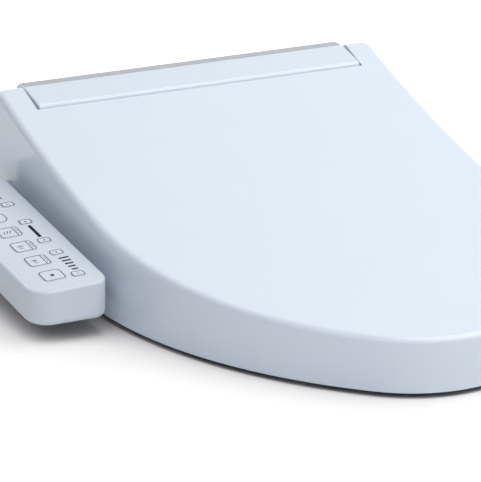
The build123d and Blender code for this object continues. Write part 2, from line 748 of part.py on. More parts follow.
with BuildPart() as base_tray:
    body_middle = (0, (BODY_REAR - BODY_FRONT) / 2)
    with BuildSketch(Plane.XY.offset(TRAY_LOW)):
        with Locations(body_middle):
            RectangleRounded(2 * BODY_HALF_WIDTH, BODY_FRONT + BODY_REAR, BODY_CORNER_RADIUS)
    extrude(amount=PARTING_Z - TRAY_LOW)
    with BuildSketch(Plane.XY.offset(TRAY_FLOOR)):
        with Locations(body_middle):
            RectangleRounded(
                2 * (BODY_HALF_WIDTH - BODY_WALL),
                BODY_FRONT + BODY_REAR - 2 * BODY_WALL,
                BODY_CORNER_RADIUS - BODY_WALL,
            )
    extrude(amount=PARTING_Z, mode=Mode.SUBTRACT)
    with BuildSketch(Plane.XY.offset(TRAY_LOW)):
        with Locations((0, BODY_REAR)):
            Rectangle(
                2 * (CHANNEL_HALF_WIDTH + BODY_WALL),
                BODY_REAR - CHANNEL_FRONT + BODY_WALL,
                align=(Align.CENTER, Align.MAX),
            )
    extrude(amount=CHANNEL_DECK - TRAY_LOW)
    with BuildSketch(Plane.XY.offset(TRAY_FLOOR)):
        with Locations(*COVER_BOSSES):
            Circle(BOSS_RADIUS)
    extrude(amount=PARTING_Z - TRAY_FLOOR)
    with BuildSketch(Plane.XY.offset(TRAY_FLOOR)):
        with Locations((BOARD_X, BOARD_Y)):
            with GridLocations(
                BOARD_WIDTH - 4 * BOARD_POST_RADIUS, BOARD_DEPTH - 4 * BOARD_POST_RADIUS, 2, 2
            ):
                Circle(BOARD_POST_RADIUS)
    extrude(amount=BOARD_POST_HEIGHT)
    with BuildSketch(Plane.XY.offset(BRACKET_PAD_HEIGHT - CHANNEL_GAP)):
        with Locations((0, CHANNEL_FRONT)):
            Rectangle(
                2 * CHANNEL_HALF_WIDTH, BODY_REAR + BODY_FRONT, align=(Align.CENTER, Align.MIN)
            )
    extrude(amount=CHANNEL_TOP - BRACKET_PAD_HEIGHT + CHANNEL_GAP, mode=Mode.SUBTRACT)
    with BuildSketch():
        with Locations((0, CHANNEL_FRONT)):
            Rectangle(
                2 * (CHANNEL_HALF_WIDTH - BRACKET_FLANGE),
                BODY_REAR + BODY_FRONT,
                align=(Align.CENTER, Align.MIN),
            )
    extrude(amount=BRACKET_PAD_HEIGHT, mode=Mode.SUBTRACT)
    with BuildSketch(Plane.XY.offset(PORT_LOW)):
        with Locations((0, -BODY_FRONT)):
            Rectangle(2 * PORT_HALF_WIDTH, 3 * BODY_WALL)
    extrude(amount=PORT_HIGH - PORT_LOW, mode=Mode.SUBTRACT)
    with BuildSketch(Plane.YZ.offset(BODY_HALF_WIDTH)):
        with Locations((FAN_Y, TRAY_FLOOR)):
            Rectangle(
                CASSETTE_WIDTH + 2 * CASSETTE_GAP,
                CASSETTE_HEIGHT + 2 * CASSETTE_GAP,
                align=(Align.CENTER, Align.MIN),
            )
        with Locations((RELEASE_Y, RELEASE_Z)):
            Rectangle(RELEASE_WIDTH + 2 * RELEASE_GAP, RELEASE_HEIGHT + 2 * RELEASE_GAP)
        with Locations((VALVE_Y, VALVE_Z)):
            Circle(SPIGOT_RADIUS + SPIGOT_GAP)
    extrude(amount=-2 * BODY_WALL, mode=Mode.SUBTRACT)
    with BuildSketch(GLAND_PLANE):
        Circle(GLAND_RADIUS + GLAND_GAP)
    extrude(amount=-2 * BODY_WALL, mode=Mode.SUBTRACT)
    with BuildSketch(Plane.XY.offset(TRAY_LOW)):
        with Locations(*COVER_BOSSES):
            Circle(SCREW_HEAD_RADIUS + SHAFT_CLEARANCE)
    extrude(amount=SCREW_HEAD_HEIGHT + BODY_WALL, mode=Mode.SUBTRACT)
    with BuildSketch(Plane.XY.offset(TRAY_LOW)):
        with Locations(*COVER_BOSSES):
            Circle(SCREW_RADIUS + SHAFT_CLEARANCE)
    extrude(amount=PARTING_Z, mode=Mode.SUBTRACT)

save(base_tray.part, "base_tray")

SCREW_SEAT = TRAY_LOW + SCREW_HEAD_HEIGHT + BODY_WALL
with BuildPart() as cover_screws:
    with BuildSketch(Plane.XY.offset(SCREW_SEAT)):
        with Locations(*COVER_BOSSES):
            Circle(SCREW_RADIUS)
    extrude(amount=PARTING_Z - SCREW_SEAT + BOSS_HEIGHT / 2)
    with BuildSketch(Plane.XY.offset(SCREW_SEAT)):
        with Locations(*COVER_BOSSES):
            Circle(SCREW_HEAD_RADIUS)
    extrude(amount=-SCREW_HEAD_HEIGHT)

save(cover_screws.part, "cover_screws")

with BuildPart() as base_feet:
    with BuildSketch():
        with Locations(*[(sx * FOOT_X, y) for sx in (-1, 1) for y in (FOOT_FRONT_Y, FOOT_REAR_Y)]):
            Circle(FOOT_RADIUS)
    extrude(amount=TRAY_LOW)

save(base_feet.part, "base_feet")

# Gland for the mains lead: a grommet with a flange on each side of the rear wall
with BuildPart() as cord_gland:
    with BuildSketch(GLAND_PLANE.offset(GLAND_FLANGE)):
        Circle(GLAND_FLANGE_RADIUS)
    extrude(amount=-GLAND_FLANGE)
    with BuildSketch(GLAND_PLANE):
        Circle(GLAND_RADIUS)
    extrude(amount=-BODY_WALL)
    with BuildSketch(GLAND_PLANE.offset(-BODY_WALL)):
        Circle(GLAND_FLANGE_RADIUS)
    extrude(amount=-GLAND_FLANGE)
    with BuildSketch(GLAND_PLANE.offset(GLAND_FLANGE)):
        Circle(GLAND_BORE_RADIUS)
    extrude(amount=-2 * GLAND_FLANGE - BODY_WALL, mode=Mode.SUBTRACT)

save(cord_gland.part, "cord_gland")

# Bracket that is bolted to the bowl, a T-section plate with two slots
with BuildPart() as mount_bracket:
    with BuildSketch():
        with Locations((0, -BRACKET_FRONT)):
            Rectangle(
                2 * (BRACKET_HALF_WIDTH - BRACKET_FLANGE),
                BRACKET_FRONT + BRACKET_REAR,
                align=(Align.CENTER, Align.MIN),
            )
    extrude(amount=FLANGE_TOP)
    with BuildSketch(Plane.XY.offset(BRACKET_PAD_HEIGHT)):
        with Locations((0, -BRACKET_FRONT)):
            Rectangle(
                2 * BRACKET_HALF_WIDTH, BRACKET_FRONT + BRACKET_REAR, align=(Align.CENTER, Align.MIN)
            )
    extrude(amount=BRACKET_FLANGE_HEIGHT)
    with BuildSketch():
        with Locations((-BRACKET_SPACING / 2, 0), (BRACKET_SPACING / 2, 0)):
            SlotOverall(BRACKET_SLOT_LENGTH, BRACKET_SLOT_WIDTH)
    extrude(amount=FLANGE_TOP, mode=Mode.SUBTRACT)
    with BuildSketch(Plane.XY.offset(FLANGE_TOP)):
        with Locations((-BRACKET_SPACING / 2, 0), (BRACKET_SPACING / 2, 0)):
            SlotOverall(
                BRACKET_SLOT_LENGTH + 2 * BOLT_HEAD_LEDGE, BRACKET_SLOT_WIDTH + 2 * BOLT_HEAD_LEDGE
            )
    extrude(amount=-BOLT_HEAD_RECESS, mode=Mode.SUBTRACT)
    fillet(mount_bracket.edges().filter_by(Axis.Z).group_by(Axis.Y)[0], BRACKET_CORNER_RADIUS)
    fillet(mount_bracket.edges().filter_by(Axis.Z).group_by(Axis.Y)[-1], BRACKET_CORNER_RADIUS)

save(mount_bracket.part, "mount_bracket")

# Button that frees the bracket, in the flank on the far side from the arm
with BuildPart() as release_button:
    with BuildSketch(Plane.YZ.offset(BODY_HALF_WIDTH + RELEASE_PROUD)):
        with Locations((RELEASE_Y, RELEASE_Z)):
            RectangleRounded(RELEASE_WIDTH, RELEASE_HEIGHT, RELEASE_CORNER)
    extrude(amount=-RELEASE_DEPTH)
    fillet(release_button.faces().sort_by(Axis.X)[-1].edges(), RELEASE_ROUND)
    with BuildSketch(Plane.YZ.offset(BODY_HALF_WIDTH - BODY_WALL)):
        with Locations((RELEASE_Y, RELEASE_Z)):
            Rectangle(RELEASE_WIDTH + 2 * RELEASE_LIP, RELEASE_HEIGHT + 2 * RELEASE_LIP)
    extrude(amount=-RELEASE_LIP)

save(release_button.part, "release_button")

# Spray nozzle: a removable head on a tube with a rack along its top
RACK_ROOT = RACK_PITCH_HEIGHT - TOOTH_DEDENDUM
RACK_TEETH = int(NOZZLE_TRAVEL / TOOTH_PITCH) + RACK_SPARE_TEETH
RACK_START = PINION_STATION - RACK_SPARE_TEETH * TOOTH_PITCH / 2
RACK_END = RACK_START + RACK_TEETH * TOOTH_PITCH
NOZZLE_LENGTH = RACK_END + NOZZLE_TAIL
TOOTH_WIDTH = TOOTH_PITCH / 2 - TOOTH_BACKLASH

with BuildPart() as nozzle_tube:
    with BuildSketch(NOZZLE_ACROSS.offset(NOZZLE_HEAD_LENGTH)):
        Circle(NOZZLE_RADIUS)
    extrude(amount=NOZZLE_LENGTH - NOZZLE_HEAD_LENGTH)
    with BuildSketch(NOZZLE_SIDE):
        with Locations((RACK_START, 0)):
            Rectangle(RACK_END - RACK_START, RACK_ROOT, align=(Align.MIN, Align.MIN))
        with Locations(((RACK_START + RACK_END) / 2, RACK_ROOT)):
            with GridLocations(TOOTH_PITCH, 1, RACK_TEETH, 1):
                Trapezoid(
                    TOOTH_WIDTH + 2 * TOOTH_DEDENDUM * tan(radians(TOOTH_ANGLE)),
                    TOOTH_ADDENDUM + TOOTH_DEDENDUM,
                    90 - TOOTH_ANGLE,
                    align=(Align.CENTER, Align.MIN),
                )
    extrude(amount=RACK_WIDTH / 2, both=True)
    with BuildSketch(NOZZLE_ACROSS.offset(NOZZLE_HEAD_LENGTH)):
        Circle(NOZZLE_BORE_RADIUS)
    extrude(amount=NOZZLE_LENGTH - NOZZLE_HEAD_LENGTH, mode=Mode.SUBTRACT)

save(nozzle_tube.part, "nozzle_tube")

with BuildPart() as nozzle_head:
    with BuildSketch(NOZZLE_ACROSS):
        Circle(NOZZLE_RADIUS)
    extrude(amount=NOZZLE_HEAD_LENGTH)
    fillet(nozzle_head.edges().sort_by(Axis(NOZZLE_TIP, NOZZLE_BACK))[0], NOZZLE_TIP_ROUND)
    with BuildSketch(NOZZLE_ACROSS.offset(NOZZLE_HEAD_LENGTH)):
        Circle(NOZZLE_BORE_RADIUS)
    extrude(amount=NOZZLE_RADIUS - NOZZLE_HEAD_LENGTH, mode=Mode.SUBTRACT)
    with BuildSketch(Plane(origin=NOZZLE_TIP, x_dir=(1, 0, 0), z_dir=NOZZLE_SIDE.y_dir)):
        with Locations((0, NOZZLE_HEAD_LENGTH / 2)):
            with PolarLocations(SPRAY_RING_RADIUS, SPRAY_HOLES):
                Circle(SPRAY_HOLE_RADIUS)
    extrude(amount=NOZZLE_RADIUS, mode=Mode.SUBTRACT)

save(nozzle_head.part, "nozzle_head")

# Cradle: an open-topped guide on two legs, with a plate that carries the motor
CRADLE_END = NOZZLE_LENGTH - NOZZLE_TAIL

with BuildPart() as nozzle_cradle:
    with BuildSketch(NOZZLE_ACROSS.offset(CRADLE_START)):
        with Locations((0, CRADLE_LIP)):
            Rectangle(
                2 * CRADLE_HALF_WIDTH, CRADLE_LIP + CRADLE_DEPTH, align=(Align.CENTER, Align.MAX)
            )
    extrude(amount=CRADLE_END - CRADLE_START)
    with BuildSketch(NOZZLE_SIDE.offset(CRADLE_HALF_WIDTH)):
        with Locations((PINION_STATION, 0)):
            Rectangle(
                2 * MOTOR_RADIUS, PINION_HEIGHT + MOTOR_RADIUS, align=(Align.CENTER, Align.MIN)
            )
        with Locations((PINION_STATION, PINION_HEIGHT)):
            Circle(MOTOR_SHAFT_RADIUS + MOTOR_SHAFT_GAP, mode=Mode.SUBTRACT)
    extrude(amount=-CRADLE_PLATE)
    for station in (CRADLE_LEG, CRADLE_LEG + CRADLE_SPAN):
        leg_y = NOZZLE_TIP_Y + station * cos(radians(NOZZLE_PITCH))
        leg_z = NOZZLE_TIP_Z + station * sin(radians(NOZZLE_PITCH)) - NOZZLE_RADIUS
        with BuildSketch(Plane.XY.offset(TRAY_FLOOR)):
            with Locations((0, leg_y)):
                Rectangle(2 * CRADLE_HALF_WIDTH, CRADLE_LEG)
        extrude(amount=leg_z - TRAY_FLOOR)
    with BuildSketch(NOZZLE_ACROSS):
        Circle(NOZZLE_RADIUS + GUIDE_GAP)
    extrude(amount=NOZZLE_LENGTH, mode=Mode.SUBTRACT)

save(nozzle_cradle.part, "nozzle_cradle")

# Drive pinion on its shaft, with involute teeth
BASE_RADIUS = PINION_RADIUS * cos(radians(TOOTH_ANGLE))


def half_tooth_angle(radius):
    """Half the angle that a pinion tooth takes up at a radius, in radians."""
    at_pitch = TOOTH_WIDTH / (2 * PINION_RADIUS)
    lean = acos(min(1.0, BASE_RADIUS / radius))
    pitch_lean = radians(TOOTH_ANGLE)
    return at_pitch + tan(pitch_lean) - pitch_lean - tan(lean) + lean


ROOT_RADIUS = PINION_RADIUS - TOOTH_DEDENDUM
FLANK_RADII = [
    ROOT_RADIUS - TOOTH_MODULE / 2,
    BASE_RADIUS,
    PINION_RADIUS,
    PINION_RADIUS + TOOTH_ADDENDUM,
]
FLANK = [(r * cos(half_tooth_angle(r)), r * sin(half_tooth_angle(r))) for r in FLANK_RADII]

with BuildPart() as nozzle_pinion:
    with BuildSketch(NOZZLE_SIDE.offset(-RACK_WIDTH / 2)):
        with Locations((PINION_STATION, PINION_HEIGHT)):
            Circle(ROOT_RADIUS)
            with PolarLocations(0, PINION_TEETH, start_angle=180 / PINION_TEETH - 90):
                Polygon(*FLANK, *[(x, -y) for x, y in reversed(FLANK)], align=None)
    extrude(amount=RACK_WIDTH)
    with BuildSketch(NOZZLE_SIDE.offset(RACK_WIDTH / 2)):
        with Locations((PINION_STATION, PINION_HEIGHT)):
            Circle(MOTOR_SHAFT_RADIUS)
    extrude(amount=CRADLE_HALF_WIDTH + MOTOR_LENGTH / 2 - RACK_WIDTH / 2)

save(nozzle_pinion.part, "nozzle_pinion")

with BuildPart() as nozzle_motor:
    with BuildSketch(NOZZLE_SIDE.offset(CRADLE_HALF_WIDTH)):
        with Locations((PINION_STATION, PINION_HEIGHT)):
            Circle(MOTOR_RADIUS)
    extrude(amount=MOTOR_LENGTH)
    fillet(nozzle_motor.edges().group_by(Axis.X)[-1], MOTOR_ROUND)
    with BuildSketch(NOZZLE_SIDE.offset(CRADLE_HALF_WIDTH)):
        with Locations((PINION_STATION, PINION_HEIGHT)):
            Circle(MOTOR_SHAFT_RADIUS + SHAFT_CLEARANCE)
    extrude(amount=MOTOR_LENGTH / 2 + SHAFT_CLEARANCE, mode=Mode.SUBTRACT)

save(nozzle_motor.part, "nozzle_motor")

# Water tank with its lid and heater, on the roof of the bracket channel
TANK_TOP = CHANNEL_DECK + TANK_HEIGHT

with BuildPart() as water_tank:
    with BuildSketch(Plane.XY.offset(CHANNEL_DECK)):
        with Locations((TANK_X, TANK_Y)):
            RectangleRounded(TANK_WIDTH, TANK_DEPTH, TANK_ROUND)
    extrude(amount=TANK_HEIGHT)
    with BuildSketch(Plane.XY.offset(CHANNEL_DECK + TANK_WALL)):
        with Locations((TANK_X, TANK_Y)):
            RectangleRounded(
                TANK_WIDTH - 2 * TANK_WALL, TANK_DEPTH - 2 * TANK_WALL, TANK_ROUND - TANK_WALL
            )
    extrude(amount=TANK_HEIGHT, mode=Mode.SUBTRACT)

save(water_tank.part, "water_tank")

with BuildPart() as tank_lid:
    with BuildSketch(Plane.XY.offset(TANK_TOP)):
        with Locations((TANK_X, TANK_Y)):
            RectangleRounded(TANK_WIDTH, TANK_DEPTH, TANK_ROUND)
    extrude(amount=TANK_LID_THICKNESS)
    fillet(tank_lid.edges().group_by(Axis.Z)[-1], TANK_LID_ROUND)

save(tank_lid.part, "tank_lid")

with BuildPart() as tank_heater:
    heater_low = CHANNEL_DECK + TANK_WALL + HEATER_LIFT
    with BuildLine() as element:
        FilletPolyline(
            (TANK_X - HEATER_SPAN / 2, TANK_Y, TANK_TOP),
            (TANK_X - HEATER_SPAN / 2, TANK_Y, heater_low),
            (TANK_X + HEATER_SPAN / 2, TANK_Y, heater_low),
            (TANK_X + HEATER_SPAN / 2, TANK_Y, TANK_TOP),
            radius=HEATER_BEND_RADIUS,
        )
    with BuildSketch(Plane(origin=element.line @ 0, z_dir=element.line % 0)):
        Circle(HEATER_ROD_RADIUS)
    sweep(path=element.line)

save(tank_heater.part, "tank_heater")

# Inlet: threaded spigot through the flank, then the shut-off valve
VALVE_END = BODY_HALF_WIDTH - BODY_WALL - SPIGOT_COLLAR

with BuildPart() as inlet_spigot:
    with BuildSketch(Plane.YZ.offset(VALVE_END)):
        with Locations((VALVE_Y, VALVE_Z)):
            Circle(SPIGOT_RADIUS + SPIGOT_COLLAR)
    extrude(amount=SPIGOT_COLLAR)
    with BuildSketch(Plane.YZ.offset(BODY_HALF_WIDTH - BODY_WALL)):
        with Locations((VALVE_Y, VALVE_Z)):
            Circle(SPIGOT_NECK_RADIUS)
    extrude(amount=BODY_WALL)
    with BuildSketch(Plane.YZ.offset(BODY_HALF_WIDTH)):
        with Locations((VALVE_Y, VALVE_Z)):
            Circle(SPIGOT_RADIUS)
    extrude(amount=SPIGOT_LENGTH)
    with BuildSketch(Plane.YZ.offset(VALVE_END)):
        with Locations((VALVE_Y, VALVE_Z)):
            Circle(SPIGOT_BORE_RADIUS)
    extrude(amount=LID_HALF_WIDTH, mode=Mode.SUBTRACT)

save(inlet_spigot.part, "inlet_spigot")

TANK_SIDE = TANK_X + TANK_WIDTH / 2

with BuildPart() as inlet_valve:
    with BuildSketch(Plane.YZ.offset(VALVE_END)):
        with Locations((VALVE_Y, VALVE_Z)):
            RectangleRounded(VALVE_DEPTH, VALVE_HEIGHT, VALVE_ROUND)
    extrude(amount=-VALVE_WIDTH)
    with BuildSketch(Plane.XY.offset(VALVE_Z + VALVE_HEIGHT / 2)):
        with Locations((VALVE_END - VALVE_WIDTH / 2, VALVE_Y)):
            Circle(COIL_RADIUS)
    extrude(amount=COIL_HEIGHT)
    with BuildSketch(Plane.YZ.offset(TANK_SIDE)):
        with Locations((VALVE_Y - VALVE_STUB_OFFSET, VALVE_Z)):
            Circle(HOSE_RADIUS)
    extrude(amount=VALVE_END - VALVE_WIDTH - TANK_SIDE)

save(inlet_valve.part, "inlet_valve")

# Flow diverter beside the nozzle's tail, and the hose that feeds it from the tank
DIVERTER_TOP = CHANNEL_DECK + DIVERTER_HEIGHT

with BuildPart() as diverter_valve:
    with BuildSketch(Plane.XY.offset(CHANNEL_DECK)):
        with Locations((DIVERTER_X, HOSE_Y)):
            RectangleRounded(DIVERTER_WIDTH, DIVERTER_DEPTH, DIVERTER_ROUND)
    extrude(amount=DIVERTER_HEIGHT)
    with BuildSketch(Plane.XY.offset(DIVERTER_TOP)):
        with Locations((DIVERTER_X, HOSE_Y)):
            Circle(DIVERTER_DRUM_RADIUS)
    extrude(amount=DIVERTER_DRUM_HEIGHT)

save(diverter_valve.part, "diverter_valve")

with BuildPart() as supply_hose:
    hose_start = DIVERTER_X + DIVERTER_WIDTH / 2
    with BuildSketch(Plane.YZ.offset(hose_start)):
        with Locations((HOSE_Y, CHANNEL_DECK + DIVERTER_HEIGHT / 2)):
            Circle(HOSE_RADIUS)
            Circle(HOSE_RADIUS - HOSE_WALL, mode=Mode.SUBTRACT)
    extrude(amount=TANK_X - TANK_WIDTH / 2 - hose_start)

save(supply_hose.part, "supply_hose")

# Control board on its four posts
BOARD_LOW = TRAY_FLOOR + BOARD_POST_HEIGHT
BOARD_TOP = BOARD_LOW + BOARD_THICKNESS

with BuildPart() as main_board:
    with BuildSketch(Plane.XY.offset(BOARD_LOW)):
        with Locations((BOARD_X, BOARD_Y)):
            Rectangle(BOARD_WIDTH, BOARD_DEPTH)
    extrude(amount=BOARD_THICKNESS)
    with BuildSketch(Plane.XY.offset(BOARD_TOP)):
        with Locations((BOARD_X, BOARD_Y)):
            with GridLocations(RELAY_SPACING_X, RELAY_SPACING_Y, 2, 3):
                Rectangle(RELAY_WIDTH, RELAY_DEPTH)
    extrude(amount=RELAY_HEIGHT)
    with BuildSketch(Plane.XY.offset(BOARD_TOP)):
        with Locations((BOARD_X, BOARD_Y)):
            with GridLocations(RELAY_SPACING_X, RELAY_SPACING_Y, 1, 2):
                Circle(CAPACITOR_RADIUS)
    extrude(amount=CAPACITOR_HEIGHT)

save(main_board.part, "main_board")

# Deodoriser: blower, rotor and pull-out filter cassette
CASSETTE_INNER = BODY_HALF_WIDTH - CASSETTE_LENGTH
FAN_X = CASSETTE_INNER - FAN_DUCT

with BuildPart() as fan_housing:
    with BuildSketch(Plane.XY.offset(TRAY_FLOOR)):
        with Locations((FAN_X, FAN_Y)):
            Circle(FAN_RADIUS)
            Rectangle(
                CASSETTE_INNER - CASSETTE_GAP - FAN_X, CASSETTE_WIDTH, align=(Align.MIN, Align.CENTER)
            )
    extrude(amount=FAN_HEIGHT)
    with BuildSketch(Plane.XY.offset(TRAY_FLOOR + FAN_WALL)):
        with Locations((FAN_X, FAN_Y)):
            Circle(FAN_RADIUS - FAN_WALL)
            Rectangle(
                CASSETTE_INNER - FAN_X, CASSETTE_WIDTH - 2 * FAN_WALL, align=(Align.MIN, Align.CENTER)
            )
    extrude(amount=FAN_HEIGHT - 2 * FAN_WALL, mode=Mode.SUBTRACT)
    with BuildSketch(Plane.XY.offset(TRAY_FLOOR + FAN_HEIGHT)):
        with Locations((FAN_X, FAN_Y)):
            Circle(FAN_INLET_RADIUS)
    extrude(amount=-2 * FAN_WALL, mode=Mode.SUBTRACT)
    with BuildSketch(Plane.XY.offset(TRAY_FLOOR)):
        with Locations((FAN_X, FAN_Y)):
            Circle(ROTOR_PIN_RADIUS)
    extrude(amount=FAN_WALL + ROTOR_HEIGHT)

save(fan_housing.part, "fan_housing")

with BuildPart() as fan_rotor:
    with BuildSketch(Plane.XY.offset(TRAY_FLOOR + FAN_WALL + ROTOR_LIFT)):
        with Locations((FAN_X, FAN_Y)):
            Circle(ROTOR_RADIUS)
    extrude(amount=FAN_WALL)
    with BuildSketch(Plane.XY.offset(TRAY_FLOOR + FAN_WALL + ROTOR_LIFT)):
        with Locations((FAN_X, FAN_Y)):
            Circle(ROTOR_HUB_RADIUS)
            with PolarLocations(ROTOR_BLADE_RING, ROTOR_BLADES):
                Rectangle(ROTOR_BLADE_LENGTH, FAN_WALL / 2, rotation=ROTOR_BLADE_ANGLE)
    extrude(amount=ROTOR_HEIGHT)
    with BuildSketch(Plane.XY.offset(TRAY_FLOOR + FAN_WALL + ROTOR_LIFT)):
        with Locations((FAN_X, FAN_Y)):
            Circle(ROTOR_PIN_RADIUS + SHAFT_CLEARANCE)
    extrude(amount=ROTOR_HEIGHT, mode=Mode.SUBTRACT)

save(fan_rotor.part, "fan_rotor")

CASSETTE_LOW = TRAY_FLOOR + CASSETTE_GAP

with BuildPart() as filter_cassette:
    with BuildSketch(Plane.XY.offset(CASSETTE_LOW)):
        with Locations((CASSETTE_INNER, FAN_Y)):
            Rectangle(CASSETTE_LENGTH, CASSETTE_WIDTH, align=(Align.MIN, Align.CENTER))
    extrude(amount=CASSETTE_HEIGHT)
    with BuildSketch(Plane.XY.offset(CASSETTE_LOW + CASSETTE_WALL)):
        with Locations((CASSETTE_INNER + CASSETTE_WALL, FAN_Y)):
            Rectangle(
                CASSETTE_LENGTH - CASSETTE_WALL - CASSETTE_GRIP,
                CASSETTE_WIDTH - 2 * CASSETTE_WALL,
                align=(Align.MIN, Align.CENTER),
            )
    extrude(amount=CASSETTE_HEIGHT, mode=Mode.SUBTRACT)
    with BuildSketch(Plane.XZ.offset(-FAN_Y)):
        with Locations((BODY_HALF_WIDTH, CASSETTE_LOW + CASSETTE_HEIGHT / 2)):
            Circle(CASSETTE_GRIP_RADIUS)
    extrude(amount=CASSETTE_GRIP_WIDTH / 2, both=True, mode=Mode.SUBTRACT)

save(filter_cassette.part, "filter_cassette")

with BuildPart() as filter_block:
    with BuildSketch(Plane.XY.offset(CASSETTE_LOW + CASSETTE_WALL)):
        with Locations((CASSETTE_INNER + CASSETTE_WALL + CASSETTE_GAP, FAN_Y)):
            Rectangle(
                CASSETTE_LENGTH - CASSETTE_WALL - CASSETTE_GRIP - 2 * CASSETTE_GAP,
                CASSETTE_WIDTH - 2 * (CASSETTE_WALL + CASSETTE_GAP),
                align=(Align.MIN, Align.CENTER),
            )
    extrude(amount=CASSETTE_HEIGHT - 2 * CASSETTE_WALL)

save(filter_block.part, "filter_block")

# Control arm: shell, bottom plate, key board, keys and screws
ARM_BOTTOM = Plane(
    origin=(ARM_INNER_X, ARM_FRONT_Y, ARM_FRONT_Z - ARM_HEIGHT),
    x_dir=(1, 0, 0),
    z_dir=(0, -tan(radians(ARM_PITCH)), 1),
)


def arm_outline(plane, inset):
    """Sketch of the arm's outline on a plane, drawn in by inset."""
    corners = (ARM_OUTER_CORNER, ARM_INNER_CORNER, ARM_REAR_CORNER, ARM_REAR_CORNER)
    with BuildSketch(plane) as outline:
        with BuildLine():
            FilletPolyline(
                (inset - ARM_WIDTH, inset),
                (-inset, inset),
                (-inset, ARM_LENGTH - inset),
                (inset - ARM_WIDTH, ARM_LENGTH - inset),
                radius=[max(corner - inset, ARM_WALL) for corner in corners],
                close=True,
            )
        make_face()
    return outline.sketch


def arm_form(inset, drop, lift):
    """Arm drawn in by inset, from drop below its top down to lift above its bottom."""
    with BuildPart() as form:
        extrude(arm_outline(ARM_TOP.offset(-drop), inset), amount=2 * ARM_HEIGHT, dir=(0, 0, -1))
        split(bisect_by=ARM_BOTTOM.offset(lift), keep=Keep.TOP)
    return form.part


KEY_SIZE = (KEY_WIDTH, KEY_DEPTH, KEY_CORNER)
ROUND_KEY_SIZE = (KEY_WIDTH, KEY_DEPTH, ROUND_KEY_CORNER)
SMALL_KEY_SIZE = (SMALL_KEY_WIDTH, SMALL_KEY_DEPTH, SMALL_KEY_CORNER)
KEYS = {
    "key_stop": (-KEY_COLUMN, KEY_FIRST, KEY_SIZE),
    "key_rear_wash": (-KEY_COLUMN, KEY_FIRST + KEY_PITCH, KEY_SIZE),
    "key_front_wash": (-KEY_COLUMN, KEY_FIRST + 2 * KEY_PITCH, KEY_SIZE),
    "key_dryer": (-KEY_COLUMN, KEY_FIRST + 3 * KEY_PITCH, KEY_SIZE),
    "key_power": (-KEY_COLUMN, KEY_FIRST + 4 * KEY_PITCH, ROUND_KEY_SIZE),
    "key_pressure_down": (-SMALL_KEY_COLUMN, SMALL_KEY_ROWS[0], SMALL_KEY_SIZE),
    "key_pressure_up": (-SMALL_KEY_COLUMN, SMALL_KEY_ROWS[1], SMALL_KEY_SIZE),
    "key_position_front": (-SMALL_KEY_COLUMN, SMALL_KEY_ROWS[2], SMALL_KEY_SIZE),
    "key_position_rear": (-SMALL_KEY_COLUMN, SMALL_KEY_ROWS[3], SMALL_KEY_SIZE),
    "key_heat_down": (-SMALL_KEY_COLUMN, SMALL_KEY_ROWS[4], SMALL_KEY_SIZE),
    "key_heat_up": (-SMALL_KEY_COLUMN, SMALL_KEY_ROWS[5], SMALL_KEY_SIZE),
}
KEY_LIP_TOP = ARM_WALL + SHAFT_CLEARANCE
KEY_BOARD_DEPTH = KEY_LIP_TOP + KEY_LIP_THICKNESS + KEY_TRAVEL + KEY_REST_GAP
ARM_LIP_LOW = ARM_PLATE_THICKNESS
ARM_LIP_HIGH = ARM_PLATE_THICKNESS + ARM_LIP_THICKNESS
ARM_SCREW_INSET = (ARM_PLATE_INSET + ARM_LIP_INSET) / 2
ARM_SCREWS = [
    (-ARM_WIDTH / 2 + sx * (ARM_WIDTH / 2 - ARM_SCREW_INSET), y)
    for sx in (-1, 1)
    for y in (ARM_OUTER_CORNER + ARM_SCREW_INSET, ARM_LENGTH - ARM_OUTER_CORNER - ARM_SCREW_INSET)
]
BOARD_SEATS = [
    (-ARM_WIDTH / 2 + sx * (ARM_WIDTH / 2 - 2 * BOARD_SEAT_INSET), y)
    for sx in (-1, 1)
    for y in (2 * BOARD_SEAT_INSET, ARM_LENGTH - 2 * BOARD_SEAT_INSET)
]

with BuildPart() as arm_outside:
    add(arm_form(0, 0, 0))
    fillet(arm_outside.faces().sort_by(Axis(ARM_TOP.origin, ARM_NORMAL))[-1].edges(), ARM_TOP_ROUND)
    bottom = arm_outside.faces().sort_by(Axis(ARM_BOTTOM.origin, ARM_BOTTOM.z_dir))[0]
    fillet(bottom.edges(), ARM_LOW_ROUND)

